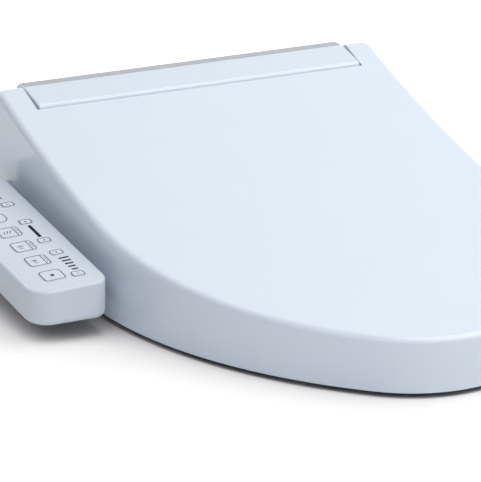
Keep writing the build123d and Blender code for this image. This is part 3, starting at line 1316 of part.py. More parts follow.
with BuildPart() as arm_shell:
    add(arm_outside.part)
    with BuildSketch(Plane.XY.offset(BRIDGE_LOW)):
        with Locations((-BODY_HALF_WIDTH, BRIDGE_Y)):
            Rectangle(
                ARM_WALL - ARM_INNER_X - BODY_HALF_WIDTH, BRIDGE_WIDTH, align=(Align.MAX, Align.CENTER)
            )
    extrude(amount=BRIDGE_HEIGHT)
    add(arm_form(ARM_WALL, ARM_WALL, ARM_LIP_HIGH), mode=Mode.SUBTRACT)
    extrude(arm_outline(ARM_BOTTOM, ARM_LIP_INSET), amount=ARM_LIP_HIGH, mode=Mode.SUBTRACT)
    extrude(arm_outline(ARM_BOTTOM, ARM_PLATE_INSET), amount=ARM_LIP_LOW, mode=Mode.SUBTRACT)
    for place_x, place_y, (width, depth, corner) in KEYS.values():
        with BuildSketch(ARM_TOP):
            with Locations((place_x, place_y)):
                RectangleRounded(width + 2 * KEY_GAP, depth + 2 * KEY_GAP, corner + KEY_GAP)
        extrude(amount=-2 * ARM_WALL, mode=Mode.SUBTRACT)
    with BuildSketch(ARM_TOP.offset(-ARM_WALL)):
        with Locations(*BOARD_SEATS):
            Circle(BOARD_POST_RADIUS)
    extrude(amount=ARM_WALL - KEY_BOARD_DEPTH)
    with BuildSketch(ARM_BOTTOM):
        with Locations(*ARM_SCREWS):
            Circle(SCREW_RADIUS + SHAFT_CLEARANCE)
    extrude(amount=ARM_LIP_HIGH, mode=Mode.SUBTRACT)

save(arm_shell.part, "arm_shell")

with BuildPart() as arm_plate:
    extrude(arm_outline(ARM_BOTTOM, ARM_PLATE_INSET + SEAT_BASE_GAP), amount=ARM_PLATE_THICKNESS)
    with BuildSketch(ARM_BOTTOM):
        with Locations(*ARM_SCREWS):
            Circle(SCREW_RADIUS + SHAFT_CLEARANCE)
    extrude(amount=ARM_PLATE_THICKNESS, mode=Mode.SUBTRACT)
    with BuildSketch(ARM_BOTTOM):
        with Locations(*ARM_SCREWS):
            Circle(SCREW_HEAD_RADIUS + SHAFT_CLEARANCE)
    extrude(amount=SCREW_HEAD_HEIGHT, mode=Mode.SUBTRACT)

save(arm_plate.part, "arm_plate")

with BuildPart() as arm_screws:
    with BuildSketch(ARM_BOTTOM):
        with Locations(*ARM_SCREWS):
            Circle(SCREW_HEAD_RADIUS)
    extrude(amount=SCREW_HEAD_HEIGHT)
    with BuildSketch(ARM_BOTTOM):
        with Locations(*ARM_SCREWS):
            Circle(SCREW_RADIUS)
    extrude(amount=ARM_LIP_HIGH)

save(arm_screws.part, "arm_screws")

with BuildPart() as key_board:
    extrude(arm_outline(ARM_TOP.offset(-KEY_BOARD_DEPTH), BOARD_SEAT_INSET), amount=-KEY_BOARD_THICKNESS)

save(key_board.part, "key_board")

for key_name, (place_x, place_y, (width, depth, corner)) in KEYS.items():
    with BuildPart() as key:
        with BuildSketch(ARM_TOP.offset(KEY_PROUD)):
            with Locations((place_x, place_y)):
                RectangleRounded(width, depth, corner)
        extrude(amount=-KEY_PROUD - KEY_LIP_TOP - KEY_LIP_THICKNESS)
        crown = key.faces().sort_by(Axis(ARM_TOP.origin, ARM_NORMAL))[-1]
        fillet(crown.edges(), KEY_PROUD)
        with BuildSketch(ARM_TOP.offset(-KEY_LIP_TOP)):
            with Locations((place_x, place_y)):
                RectangleRounded(width + 2 * KEY_LIP, depth + 2 * KEY_LIP, corner)
        extrude(amount=-KEY_LIP_THICKNESS)
    save(key.part, key_name)
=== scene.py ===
# %% [markdown]
# An electric bidet seat: a glossy white lid over a heated ring, a rear housing
# that holds the water and the electronics, and a control arm beside the ring.
# Its construction comes from a CAD model, which this lesson loads as a fixed
# frame. Blender adds the finishes, the printing on the keys and the fine parts
# that are too small for the CAD model. Everything is in metres, with the nose
# of the seat towards -Y and the arm on the -X side.

# %% Load the frame
import json
from math import cos, degrees, pi, radians, sin

import bmesh
import bpy
from mathutils import Matrix, Vector


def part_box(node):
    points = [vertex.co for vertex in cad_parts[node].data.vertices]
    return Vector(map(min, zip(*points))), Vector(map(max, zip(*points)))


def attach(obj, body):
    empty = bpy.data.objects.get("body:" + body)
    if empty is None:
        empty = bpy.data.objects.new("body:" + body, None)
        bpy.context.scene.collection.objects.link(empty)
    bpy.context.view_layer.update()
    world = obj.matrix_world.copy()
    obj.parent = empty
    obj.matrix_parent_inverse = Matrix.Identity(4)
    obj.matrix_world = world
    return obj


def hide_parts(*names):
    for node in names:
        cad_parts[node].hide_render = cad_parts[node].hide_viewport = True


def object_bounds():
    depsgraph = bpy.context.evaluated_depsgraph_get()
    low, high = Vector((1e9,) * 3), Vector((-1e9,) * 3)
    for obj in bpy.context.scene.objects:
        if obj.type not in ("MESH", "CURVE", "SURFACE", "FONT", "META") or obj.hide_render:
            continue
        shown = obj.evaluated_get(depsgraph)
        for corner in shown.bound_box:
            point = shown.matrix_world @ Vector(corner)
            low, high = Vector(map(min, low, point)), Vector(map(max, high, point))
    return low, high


MM = 0.001
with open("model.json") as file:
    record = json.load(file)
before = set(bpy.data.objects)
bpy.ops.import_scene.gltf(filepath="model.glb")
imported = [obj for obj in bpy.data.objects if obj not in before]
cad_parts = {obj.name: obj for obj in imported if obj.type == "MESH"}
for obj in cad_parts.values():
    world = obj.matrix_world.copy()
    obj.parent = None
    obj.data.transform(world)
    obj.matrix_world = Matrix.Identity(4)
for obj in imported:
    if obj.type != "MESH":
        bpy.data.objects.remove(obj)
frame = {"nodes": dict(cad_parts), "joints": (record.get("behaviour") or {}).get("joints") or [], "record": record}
cad_low, cad_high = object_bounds()
record = frame["record"]
print("nodes", len(frame["nodes"]), "box in mm", [round(c / MM, 1) for c in cad_high - cad_low])

# %% [markdown]
# The photograph was taken with a long lens from the front left, a little above
# the lid. A camera can be aimed by hand until the outlines agree, but here it
# was solved once from the outlines of the lid, the strip panel and the arm, so
# it is written as a place, a point it looks at and a small roll. The lens shift
# stands for the cropping of a larger picture.

# %% Camera
CAMERA_PLACE = Vector((-1.36559, -2.75011, 1.03649))
CAMERA_AIM = Vector((-0.06591, -0.14903, 0.0418))
CAMERA_ROLL = radians(0.243)
CAMERA_LENS_MM = 258.9
CAMERA_SHIFT = (0.061, -0.0079)
CAMERA_REACH = 50.0
SENSOR_MM = 36.0

camera_data = bpy.data.cameras.new("camera")
camera_data.sensor_fit = "VERTICAL"
camera_data.sensor_width = SENSOR_MM
camera_data.sensor_height = SENSOR_MM
camera_data.lens = CAMERA_LENS_MM
camera_data.shift_x, camera_data.shift_y = CAMERA_SHIFT
camera_data.clip_end = CAMERA_REACH
camera = bpy.data.objects.new("camera", camera_data)
bpy.context.scene.collection.objects.link(camera)
aim = (CAMERA_AIM - CAMERA_PLACE).to_track_quat("-Z", "Y").to_matrix().to_4x4()
camera.matrix_world = Matrix.Translation(CAMERA_PLACE) @ aim @ Matrix.Rotation(CAMERA_ROLL, 4, "Z")
bpy.context.scene.camera = camera
bpy.context.scene.view_settings.view_transform = "Standard"
print("camera distance", round((CAMERA_AIM - CAMERA_PLACE).length, 3), "m")

# %% [markdown]
# Two small helpers serve every finish below. Colours are picked as sRGB hex
# values, as in a paint program, but Blender's shaders add light in linear
# values, so one function converts them. The other adds a shader node, sets its
# sockets or settings by name, and links its inputs by name or by number, since
# the inputs of some nodes share one name.


# %% Colour and node helpers
def linear(hex_colour):
    """Linear RGBA of an sRGB hex colour."""
    channels = [int(hex_colour[i : i + 2], 16) / 255 for i in (1, 3, 5)]
    return [c / 12.92 if c <= 0.04045 else ((c + 0.055) / 1.055) ** 2.4 for c in channels] + [1]


def add_node(tree, kind, settings=None, links=None):
    """Add a shader node, set its sockets or settings by name, and link its inputs."""
    node = tree.nodes.new(kind)
    for name, value in (settings or {}).items():
        if name in node.inputs:
            node.inputs[name].default_value = value
        else:
            setattr(node, name, value)
    for name, socket in (links or {}).items():
        tree.links.new(socket, node.inputs[name])
    return node


print("middle grey in linear values", [round(c, 3) for c in linear("#808080")[:3]])

# %% [markdown]
# The stage is a white product sweep. Under plain light a white floor renders
# pale grey, and more light would wash out the object, so the floor gets a glow
# that only the camera, reflections and see-through parts meet. The glow is held
# back where the object stands close above the floor, and there the camera meets
# a greyer copy of the floor. Both are painted shade: the shadow under the arm and
# the dark line under the skirt are partly the lamps' real shade and partly painted.
# A colour ramp holds it back: it reads how open the floor is to the sky, from 0
# to 1, and each step gives the glow at that openness. The ramp's own ends are
# black for a closed floor and white for an open one.

# %% Floor
FLOOR_SIZE = 14.0
FLOOR_COLOUR = "#f0eeec"
# Painted shade: the greyer floor that the camera meets where the object is close above.
SHADED_COLOUR = "#b4b0ad"
SHADOW_REACH = 150 * MM
GLOW_STEPS = {0.2: 0.0, 0.45: 0.32, 0.55: 0.49, 0.75: 0.56, 0.9: 0.59}


def shows_background(tree):
    """Socket that is 1 on the rays by which the background is seen, and 0 on the rest."""
    path = add_node(tree, "ShaderNodeLightPath")
    shown = path.outputs["Is Camera Ray"]
    for ray in ("Is Glossy Ray", "Is Transmission Ray"):
        either = add_node(
            tree, "ShaderNodeMath", {"operation": "MAXIMUM"}, {0: shown, 1: path.outputs[ray]}
        )
        shown = either.outputs[0]
    return shown


bm = bmesh.new()
bmesh.ops.create_grid(bm, x_segments=1, y_segments=1, size=FLOOR_SIZE / 2)
floor_mesh = bpy.data.meshes.new("floor")
bm.to_mesh(floor_mesh)
bm.free()
floor = bpy.data.objects.new("floor", floor_mesh)
bpy.context.scene.collection.objects.link(floor)

floor_finish = bpy.data.materials.new("white_sweep")
floor_finish.use_nodes = True
tree = floor_finish.node_tree
tree.nodes.clear()
matt = add_node(tree, "ShaderNodeBsdfDiffuse", {"Color": linear(FLOOR_COLOUR)})
# The greyer floor of painted shade, seen only by the camera.
shaded = add_node(tree, "ShaderNodeBsdfDiffuse", {"Color": linear(SHADED_COLOUR)})
openness = add_node(tree, "ShaderNodeAmbientOcclusion", {"Distance": SHADOW_REACH})
# Painted shade: the glow is held back where the floor is closed in.
held = add_node(tree, "ShaderNodeValToRGB", links={"Fac": openness.outputs["AO"]})
for open_share, glow_share in GLOW_STEPS.items():
    held.color_ramp.elements.new(open_share).color = (glow_share, glow_share, glow_share, 1)
glow = add_node(tree, "ShaderNodeEmission", links={"Color": held.outputs["Color"]})
lit = add_node(tree, "ShaderNodeAddShader", links={0: shaded.outputs[0], 1: glow.outputs[0]})
seen = add_node(
    tree,
    "ShaderNodeMixShader",
    links={0: shows_background(tree), 1: matt.outputs[0], 2: lit.outputs[0]},
)
add_node(tree, "ShaderNodeOutputMaterial", links={"Surface": seen.outputs[0]})
floor_mesh.materials.append(floor_finish)
print("floor", FLOOR_SIZE, "m wide, its shadows reach", round(SHADOW_REACH / MM), "mm")

# %% [markdown]
# The light is one large softbox overhead at the front right, which makes the
# top of the lid the brightest face, and three weak ones that lift the left
# flank, the front of the arm and the rear. The surround is pale and weak, so
# that faces keep their different shades. A lamp's power was found by rendering
# each lamp alone: light adds up, so their sum is known before the final render.
# No lamp stands low in front, because its mirror image would wash out the lid
# in a view from behind.

# %% Surround and lamps
BACKGROUND_COLOUR = "#ffffff"
SURROUND_COLOUR = "#dfe6ee"
SURROUND_STRENGTH = 0.21
# Each lamp's place and size in metres, its power in watts and its colour.
LAMPS = {
    "overhead": ((0.95, -0.7, 2.0), (2.6, 2.4), 51.0, "#ffffff"),
    "fill": ((-1.5, -1.3, 1.5), (1.6, 1.2), 8.0, "#eceeff"),
    "front": ((-0.5, -2.3, 1.5), (1.4, 0.7), 7.0, "#f6f7ff"),
    "rear": ((-0.6, 2.2, 1.4), (1.8, 1.2), 10.0, "#ffffff"),
}
LAMP_AIM = (cad_low + cad_high) / 2

world = bpy.data.worlds.new("surround")
bpy.context.scene.world = world
world.use_nodes = True
tree = world.node_tree
tree.nodes.clear()
dim = add_node(
    tree, "ShaderNodeBackground", {"Color": linear(SURROUND_COLOUR), "Strength": SURROUND_STRENGTH}
)
white = add_node(
    tree, "ShaderNodeBackground", {"Color": linear(BACKGROUND_COLOUR), "Strength": 1.0}
)
seen = add_node(
    tree,
    "ShaderNodeMixShader",
    links={0: shows_background(tree), 1: dim.outputs[0], 2: white.outputs[0]},
)
add_node(tree, "ShaderNodeOutputWorld", links={"Surface": seen.outputs[0]})

for name, (place, size, power, colour) in LAMPS.items():
    light = bpy.data.lights.new(name, "AREA")
    light.shape = "RECTANGLE"
    light.size, light.size_y = size
    light.energy = power
    light.color = linear(colour)[:3]
    lamp = bpy.data.objects.new(name, light)
    bpy.context.scene.collection.objects.link(lamp)
    turn = (LAMP_AIM - Vector(place)).to_track_quat("-Z", "Y").to_matrix().to_4x4()
    lamp.matrix_world = Matrix.Translation(place) @ turn
print("lamps", list(LAMPS))

# %% [markdown]
# Most of the object is injection-moulded plastic, and one function makes all
# of it. A moulding is never one flat colour: its shade drifts a little over
# some centimetres, and its skin has a grain from the mould, which breaks up
# the reflections. A polished mould gives a fine, shallow orange peel and a low
# roughness, and a spark-eroded one gives a deeper grain and a dull surface.

# %% Moulded plastics
DRIFT_MM = 60.0
DRIFT_DETAIL = 2.0
GRAIN_DETAIL = 3.0
DULLNESS_SPREAD = 0.15
ABS_IOR = 1.53


def moulded_plastic(name, colour, drifted, roughness, grain_mm, grain_depth_mm, ior=ABS_IOR):
    """Plastic of one colour that drifts a little towards another, with the mould's grain."""
    finish = bpy.data.materials.new(name)
    finish.use_nodes = True
    tree = finish.node_tree
    tree.nodes.clear()
    where = add_node(tree, "ShaderNodeTexCoord").outputs["Object"]
    drift = add_node(
        tree,
        "ShaderNodeTexNoise",
        {"Scale": 1 / (DRIFT_MM * MM), "Detail": DRIFT_DETAIL},
        {"Vector": where},
    )
    shade = add_node(
        tree,
        "ShaderNodeMix",
        {"data_type": "RGBA", "A": linear(colour), "B": linear(drifted)},
        {"Factor": drift.outputs["Fac"]},
    )
    grain = add_node(
        tree,
        "ShaderNodeTexNoise",
        {"Scale": 1 / (grain_mm * MM), "Detail": GRAIN_DETAIL},
        {"Vector": where},
    )
    dullness = add_node(
        tree,
        "ShaderNodeMapRange",
        {
            "To Min": roughness * (1 - DULLNESS_SPREAD),
            "To Max": roughness * (1 + DULLNESS_SPREAD),
        },
        {"Value": grain.outputs["Fac"]},
    )
    skin = add_node(
        tree,
        "ShaderNodeBump",
        {"Strength": 1.0, "Distance": grain_depth_mm * MM},
        {"Height": grain.outputs["Fac"]},
    )
    plastic = add_node(
        tree,
        "ShaderNodeBsdfPrincipled",
        {"IOR": ior},
        {
            "Base Color": shade.outputs["Result"],
            "Roughness": dullness.outputs["Result"],
            "Normal": skin.outputs[0],
        },
    )
    add_node(tree, "ShaderNodeOutputMaterial", links={"Surface": plastic.outputs[0]})
    return finish


# Each slot's name, colour, drifted colour, roughness, and grain width and depth in mm.
finishes = {
    "lid_abs": moulded_plastic("polished_white_abs", "#dce7f0", "#dfe9f1", 0.2, 1.6, 0.004),
    "seat_abs": moulded_plastic("polished_seat_abs", "#dce7f0", "#dfe9f1", 0.22, 1.6, 0.004),
    "body_abs": moulded_plastic("polished_body_abs", "#d9e4ed", "#dce6ee", 0.24, 1.6, 0.004),
    "tray_abs": moulded_plastic("satin_white_abs", "#d3d9e0", "#d8dde3", 0.42, 0.9, 0.02),
    "arm_abs": moulded_plastic("grained_white_abs", "#d1dae2", "#d7dfe6", 0.46, 0.7, 0.05),
    "key_abs": moulded_plastic("grained_key_abs", "#d4dce4", "#d9e0e7", 0.44, 0.7, 0.05),
    "bracket_abs": moulded_plastic("grey_bracket_abs", "#a9adb2", "#b2b6bb", 0.5, 0.9, 0.03),
    "rubber": moulded_plastic("soft_grey_rubber", "#b5b8bb", "#bcbfc1", 0.75, 0.6, 0.04),
    "hose_rubber": moulded_plastic("black_rubber", "#222326", "#2a2b2e", 0.7, 0.6, 0.04),
    "dark_nylon": moulded_plastic("black_nylon", "#1c1d1f", "#242527", 0.5, 0.8, 0.02),
    "grey_nylon": moulded_plastic("grey_nylon", "#a3a7ac", "#acb0b4", 0.5, 0.8, 0.02),
    "nozzle_abs": moulded_plastic("polished_nozzle_abs", "#e6ecf1", "#e9eef3", 0.2, 1.2, 0.004),
    "tank_pp": moulded_plastic("milky_polypropylene", "#d6d5cb", "#dcdbd2", 0.4, 1.0, 0.01),
    "filter_carbon": moulded_plastic("pressed_carbon", "#18181a", "#222224", 0.9, 1.4, 0.3),
    "board": moulded_plastic("solder_mask", "#17603a", "#1b6a40", 0.35, 2.5, 0.03),
}
print("plastics", len(finishes))

# %% [markdown]
# The few metal pieces are plated steel, brass and foil. What tells metal from
# grey plastic is that it has no colour of its own beyond what it reflects, so
# its shader is fully metallic and keeps the default index. Drawn and turned
# metal carries fine lines along the tool's path, and a stretched noise makes
# them.

# %% Metals
LINE_DETAIL = 4.0
LINE_SPREAD = 0.3
SCRATCH_STRENGTH = 0.5
SCRATCH_DEPTH = 0.01 * MM


def drawn_metal(name, colour, roughness, line_mm, stretch):
    """Metal with fine lines, drawn out along the axis with the smallest stretch value."""
    finish = bpy.data.materials.new(name)
    finish.use_nodes = True
    tree = finish.node_tree
    tree.nodes.clear()
    where = add_node(tree, "ShaderNodeTexCoord").outputs["Object"]
    drawn = add_node(tree, "ShaderNodeMapping", {"Scale": stretch}, {"Vector": where})
    lines = add_node(
        tree,
        "ShaderNodeTexNoise",
        {"Scale": 1 / (line_mm * MM), "Detail": LINE_DETAIL},
        {"Vector": drawn.outputs[0]},
    )
    dullness = add_node(
        tree,
        "ShaderNodeMapRange",
        {"To Min": roughness * (1 - LINE_SPREAD), "To Max": roughness * (1 + LINE_SPREAD)},
        {"Value": lines.outputs["Fac"]},
    )
    scratches = add_node(
        tree,
        "ShaderNodeBump",
        {"Strength": SCRATCH_STRENGTH, "Distance": SCRATCH_DEPTH},
        {"Height": lines.outputs["Fac"]},
    )
    metal = add_node(
        tree,
        "ShaderNodeBsdfPrincipled",
        {"Base Color": linear(colour), "Metallic": 1.0},
        {"Roughness": dullness.outputs["Result"], "Normal": scratches.outputs[0]},
    )
    add_node(tree, "ShaderNodeOutputMaterial", links={"Surface": metal.outputs[0]})
    return finish


# Each slot's name, colour, roughness, line width in mm and stretch along X, Y and Z.
finishes["steel"] = drawn_metal("zinc_plated_steel", "#b9bbbd", 0.32, 0.4, (0.1, 1, 1))
finishes["motor_steel"] = drawn_metal("pressed_steel_can", "#a9abad", 0.36, 0.4, (0.1, 1, 1))
finishes["brass"] = drawn_metal("turned_brass", "#c9a25a", 0.28, 0.4, (1, 0.1, 0.1))
finishes["heater_foil"] = drawn_metal("aluminium_foil", "#c9c8c5", 0.35, 0.8, (1, 0.2, 1))
print("finishes", len(finishes))

# %% [markdown]
# The record of the CAD model names a material slot for each of its nodes. A
# finish of the same name goes on the node, and the node's mesh stays as it is.

# %% Dress the CAD nodes in their finishes
slot_of = {part["node"]: part["material_slot"] for part in record["subparts"]}
for node_name, node in frame["nodes"].items():
    node.data.materials.clear()
    node.data.materials.append(finishes[slot_of[node_name]])
print("dressed", len(frame["nodes"]), "nodes")

# %% [markdown]
# The pieces that Blender adds are all drawn in a bmesh and finished in the same
# way: faces are turned outwards and shaded smooth, and an edge stays sharp where
# its faces meet at more than a set angle. The piece then gets its finish and
# rides on the body that carries it. Most drawings start flat: corners are
# rounded by a vertex bevel, and an extrusion gives the drawing its depth.

# %% Drawing and finishing a piece
SHARP_ANGLE = radians(32)


def finish_piece(name, drawing, finish, body):
    """Turn a drawing into an object that rides on a body."""
    bmesh.ops.recalc_face_normals(drawing, faces=drawing.faces)
    for face in drawing.faces:
        face.smooth = True
    for edge in drawing.edges:
        edge.smooth = edge.calc_face_angle(0.0) < SHARP_ANGLE
    mesh = bpy.data.meshes.new(name)
    drawing.to_mesh(mesh)
    drawing.free()
    mesh.materials.append(finish)
    piece = bpy.data.objects.new(name, mesh)
    bpy.context.scene.collection.objects.link(piece)
    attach(piece, body)
    return piece


def profile(drawing, points):
    """Add a flat face in the YZ plane from corner points, and return its corners."""
    corners = [drawing.verts.new((0, y, z)) for y, z in points]
    drawing.faces.new(corners)
    return corners


def round_corners(drawing, corners, radius, steps):
    """Round corners of a flat face."""
    bmesh.ops.bevel(
        drawing,
        geom=corners,
        offset=radius,
        offset_type="OFFSET",
        segments=steps,
        profile=0.5,
        affect="VERTICES",
        material=-1,
    )


def draw_out(drawing, reach=(0, 0, 0)):
    """Extrude all faces of a drawing, move the new ones, and return their corners."""
    made = bmesh.ops.extrude_face_region(drawing, geom=drawing.faces[:])["geom"]
    corners = [v for v in made if isinstance(v, bmesh.types.BMVert)]
    bmesh.ops.translate(drawing, vec=reach, verts=corners)
    return corners


print("edges stay sharp above", round(degrees(SHARP_ANGLE)), "degrees")

# %% [markdown]
# A grey strip caps the rear edge of the cover. Its grey is painted shade: it
# darkens the band behind the strip panel, which faces up and back, away from the
# light. Its profile is an angle that follows the cover's rounded edge: six
# points, two of them rounded by a vertex bevel, drawn out over the width.

# %% Grey strip of painted shade on the rear edge
SHADE_STRIP_HALF_WIDTH = 163.0 * MM
SHADE_STRIP_FRONT = 36.5 * MM
SHADE_STRIP_DROP = 10.0 * MM
SHADE_STRIP_THICKNESS = 0.5 * MM
SHADE_STRIP_SINK = 0.1 * MM
SHADE_STRIP_STEPS = 8
COVER_ROUND = 7.0 * MM

_, cover_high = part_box("rear_cover")
inner = Vector((0, cover_high.y - SHADE_STRIP_SINK, cover_high.z - SHADE_STRIP_SINK))
outer = Vector((0, cover_high.y + SHADE_STRIP_THICKNESS, cover_high.z + SHADE_STRIP_THICKNESS))
lip = cover_high.z - SHADE_STRIP_DROP
bm = bmesh.new()
corners = profile(
    bm,
    [
        (SHADE_STRIP_FRONT, inner.z),
        (inner.y, inner.z),
        (inner.y, lip),
        (outer.y, lip),
        (outer.y, outer.z),
        (SHADE_STRIP_FRONT, outer.z),
    ],
)
round_corners(bm, [corners[1]], COVER_ROUND - SHADE_STRIP_SINK, SHADE_STRIP_STEPS)
round_corners(bm, [corners[4]], COVER_ROUND + SHADE_STRIP_THICKNESS, SHADE_STRIP_STEPS)
bmesh.ops.translate(bm, vec=(-SHADE_STRIP_HALF_WIDTH, 0, 0), verts=bm.verts)
draw_out(bm, (2 * SHADE_STRIP_HALF_WIDTH, 0, 0))
# The strip's grey finish is painted shade along the cover's rear edge.
painted_shade_strip = finish_piece("rear_painted_shade_strip", bm, finishes["rubber"], "housing")
print("painted shade strip", round(2 * SHADE_STRIP_HALF_WIDTH / MM), "mm wide")

# %% [markdown]
# In the picture the lid's skirt comes closer to the floor than in the CAD model,
# which leaves only a thin dark line under it. A rim lengthens the skirt: the
# faces under the skirt are copied from the lid and drawn down. Towards the rear,
# where the skirt's edge rises, the rim fades out.

# %% Rim under the lid's skirt
RIM_DEPTH = 3.0 * MM
RIM_FADE = 8.0 * MM
FACING_DOWN = -0.8
SAME_PLACE = 0.001 * MM

lid_low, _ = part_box("lid")
bm = bmesh.new()
bm.from_mesh(frame["nodes"]["lid"].data)
others = [
    f
    for f in bm.faces
    if f.normal.z > FACING_DOWN or max(v.co.z for v in f.verts) > lid_low.z + RIM_FADE
]
bmesh.ops.delete(bm, geom=others, context="FACES")
bmesh.ops.remove_doubles(bm, verts=bm.verts, dist=SAME_PLACE)
for corner in draw_out(bm):
    corner.co.z -= RIM_DEPTH * (1 - (corner.co.z - lid_low.z) / RIM_FADE)
skirt_rim = finish_piece("lid_skirt_rim", bm, finishes["lid_abs"], "lid")
print("rim", round(RIM_DEPTH / MM, 1), "mm deep, with", len(skirt_rim.data.polygons), "faces")

# %% [markdown]
# The water inlet is a turned brass spigot with a half-inch pipe thread. The CAD
# node has the thread's outer size as a plain cylinder, so this piece stands in
# for it: a core turned by a full spin, and a ridge of triangular section that
# spins round it and moves on by one pitch in each turn, as a die cuts it. The
# ridge's foot is sunk into the core, so that no gap shows.

# %% Threaded inlet spigot
THREAD_RADIUS = 10.48 * MM
THREAD_CORE = 9.32 * MM
THREAD_PITCH = 1.814 * MM
THREAD_TURNS = 6
RIDGE_SINK = 0.05 * MM
SPIGOT_BORE = 6.5 * MM
COLLAR_RADIUS = 13.98 * MM
COLLAR_WIDTH = 3.5 * MM
END_CHAMFER = 0.8 * MM
TURN_STEPS = 48

spigot_low, spigot_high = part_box("inlet_spigot")
axis_y = (spigot_low.y + spigot_high.y) / 2
axis_z = (spigot_low.z + spigot_high.z) / 2
spigot_axis = Vector((0, axis_y, axis_z))
core_points = [
    (spigot_low.x, SPIGOT_BORE),
    (spigot_low.x, COLLAR_RADIUS),
    (spigot_low.x + COLLAR_WIDTH, COLLAR_RADIUS),
    (spigot_low.x + COLLAR_WIDTH, THREAD_CORE),
    (spigot_high.x - END_CHAMFER, THREAD_CORE),
    (spigot_high.x, THREAD_CORE - END_CHAMFER),
    (spigot_high.x, SPIGOT_BORE),
]
bm = bmesh.new()
ring = [bm.verts.new((x, axis_y, axis_z + r)) for x, r in core_points]
edges = [bm.edges.new((ring[i - 1], ring[i])) for i in range(len(ring))]
bmesh.ops.spin(
    bm,
    geom=ring + edges,
    cent=spigot_axis,
    axis=(1, 0, 0),
    angle=2 * pi,
    steps=TURN_STEPS,
    use_merge=True,
)
half_pitch = THREAD_PITCH / 2
thread_start = spigot_high.x - END_CHAMFER - THREAD_TURNS * THREAD_PITCH - half_pitch
ridge_points = [
    (thread_start - half_pitch, THREAD_CORE - RIDGE_SINK),
    (thread_start, THREAD_RADIUS),
    (thread_start + half_pitch, THREAD_CORE - RIDGE_SINK),
]
ridge = bm.faces.new([bm.verts.new((x, axis_y, axis_z + r)) for x, r in ridge_points])
bmesh.ops.spin(
    bm,
    geom=[ridge] + list(ridge.edges) + list(ridge.verts),
    cent=spigot_axis,
    axis=(1, 0, 0),
    dvec=(THREAD_PITCH / TURN_STEPS, 0, 0),
    angle=2 * pi * THREAD_TURNS,
    steps=TURN_STEPS * THREAD_TURNS,
)
spigot = finish_piece("threaded_inlet_spigot", bm, finishes["brass"], "housing")
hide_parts("inlet_spigot")
print("thread", THREAD_TURNS, "turns of", round(THREAD_PITCH / MM, 3), "mm")

# %% [markdown]
# The keys are marked with dark ink: an outline round each key, a simple sign
# in its middle, and level bars on the shell. Ink could be painted by a texture,
# but a thin pad of real thickness stays sharp at any distance. Every mark is
# drawn flat in the arm's own plane, whose direction is the one in which the keys
# are pressed.

# %% The arm's plane
ARM_UP = Vector(next(j["axis"] for j in frame["joints"] if j["child"] == "key_stop")).normalized()
ARM_ACROSS = Vector((1, 0, -ARM_UP.x / ARM_UP.z)).normalized()
ARM_BACK = ARM_UP.cross(ARM_ACROSS)
ARM_TURN = Matrix((ARM_ACROSS, ARM_BACK, ARM_UP)).transposed()


def arm_box(node_name):
    """Lowest and highest corner of a node along the arm's own axes."""
    local = [ARM_TURN.inverted() @ v.co for v in frame["nodes"][node_name].data.vertices]
    low = Vector([min(p[i] for p in local) for i in range(3)])
    high = Vector([max(p[i] for p in local) for i in range(3)])
    return low, high


shell_low, shell_high = arm_box("arm_shell")
print("arm length", round((shell_high - shell_low).y / MM, 1), "mm")

# %% [markdown]
# Every mark is made of plates: a grid of one face, scaled, with its corners
# rounded, then turned and moved to its place. An outline is a plate whose inset
# has taken the middle away. When the drawing is whole, it gets the thickness of
# a coat of ink, with its lower side sunk a little into the plastic.

# %% Ink
INK_THICKNESS = 0.06 * MM
INK_SINK = 0.02 * MM
INK_IOR = 1.3
CORNER_STEPS = 6
key_ink = moulded_plastic("grey_key_ink", "#101216", "#16181c", 0.8, 0.5, 0.01, ior=INK_IOR)


def plate(ink, centre, size, corner, turn=0.0):
    """Add a flat plate with round corners to the drawing, and return its face."""
    before = set(ink.faces)
    made = bmesh.ops.create_grid(ink, x_segments=1, y_segments=1, size=0.5)["verts"]
    bmesh.ops.scale(ink, vec=(size[0], size[1], 1), verts=made)
    round_corners(ink, made, corner, CORNER_STEPS)
    face = next(f for f in ink.faces if f not in before)
    verts = list(face.verts)
    bmesh.ops.rotate(ink, cent=(0, 0, 0), matrix=Matrix.Rotation(turn, 3, "Z"), verts=verts)
    bmesh.ops.translate(ink, vec=(centre[0], centre[1], 0), verts=verts)
    return face


def outline(ink, centre, size, corner, line):
    """Add a closed line with round corners to the drawing."""
    face = plate(ink, centre, size, corner)
    bmesh.ops.inset_region(
        ink, faces=[face], thickness=line, use_even_offset=True, use_boundary=True
    )
    bmesh.ops.delete(ink, geom=[face], context="FACES")


def raise_marks(name, drawing, thickness, place, finish, body):
    """Give a flat drawing its thickness, lay it in its place and let it ride on a body."""
    draw_out(drawing, (0, 0, thickness))
    bmesh.ops.translate(drawing, vec=(0, 0, -INK_SINK), verts=drawing.verts)
    bmesh.ops.transform(drawing, matrix=place, verts=drawing.verts)
    finish_piece(name, drawing, finish, body)


def print_marks(name, ink, origin, body):
    """Print a drawing on the arm, at a place along the arm's own axes."""
    place = Matrix.Translation(ARM_TURN @ origin) @ ARM_TURN.to_4x4()
    raise_marks(name, ink, INK_THICKNESS, place, key_ink, body)


print("ink is", round(INK_THICKNESS / MM, 2), "mm thick")

# %% [markdown]
# The signs are generic: a dot for stop and for each position, jets for the two
# sprays, slanted lines for warm air, a ring with a bar for power, and plus and
# minus. They are drawn from dots, bars and outlines, with the key's middle as
# their origin. The three middle keys also have a strip at their side, with
# three short bars in it.

# %% Signs of the keys
LINE = 0.7 * MM
BAR = 0.7 * MM
DOT_ROUND = 0.48
BAR_ROUND = 0.45

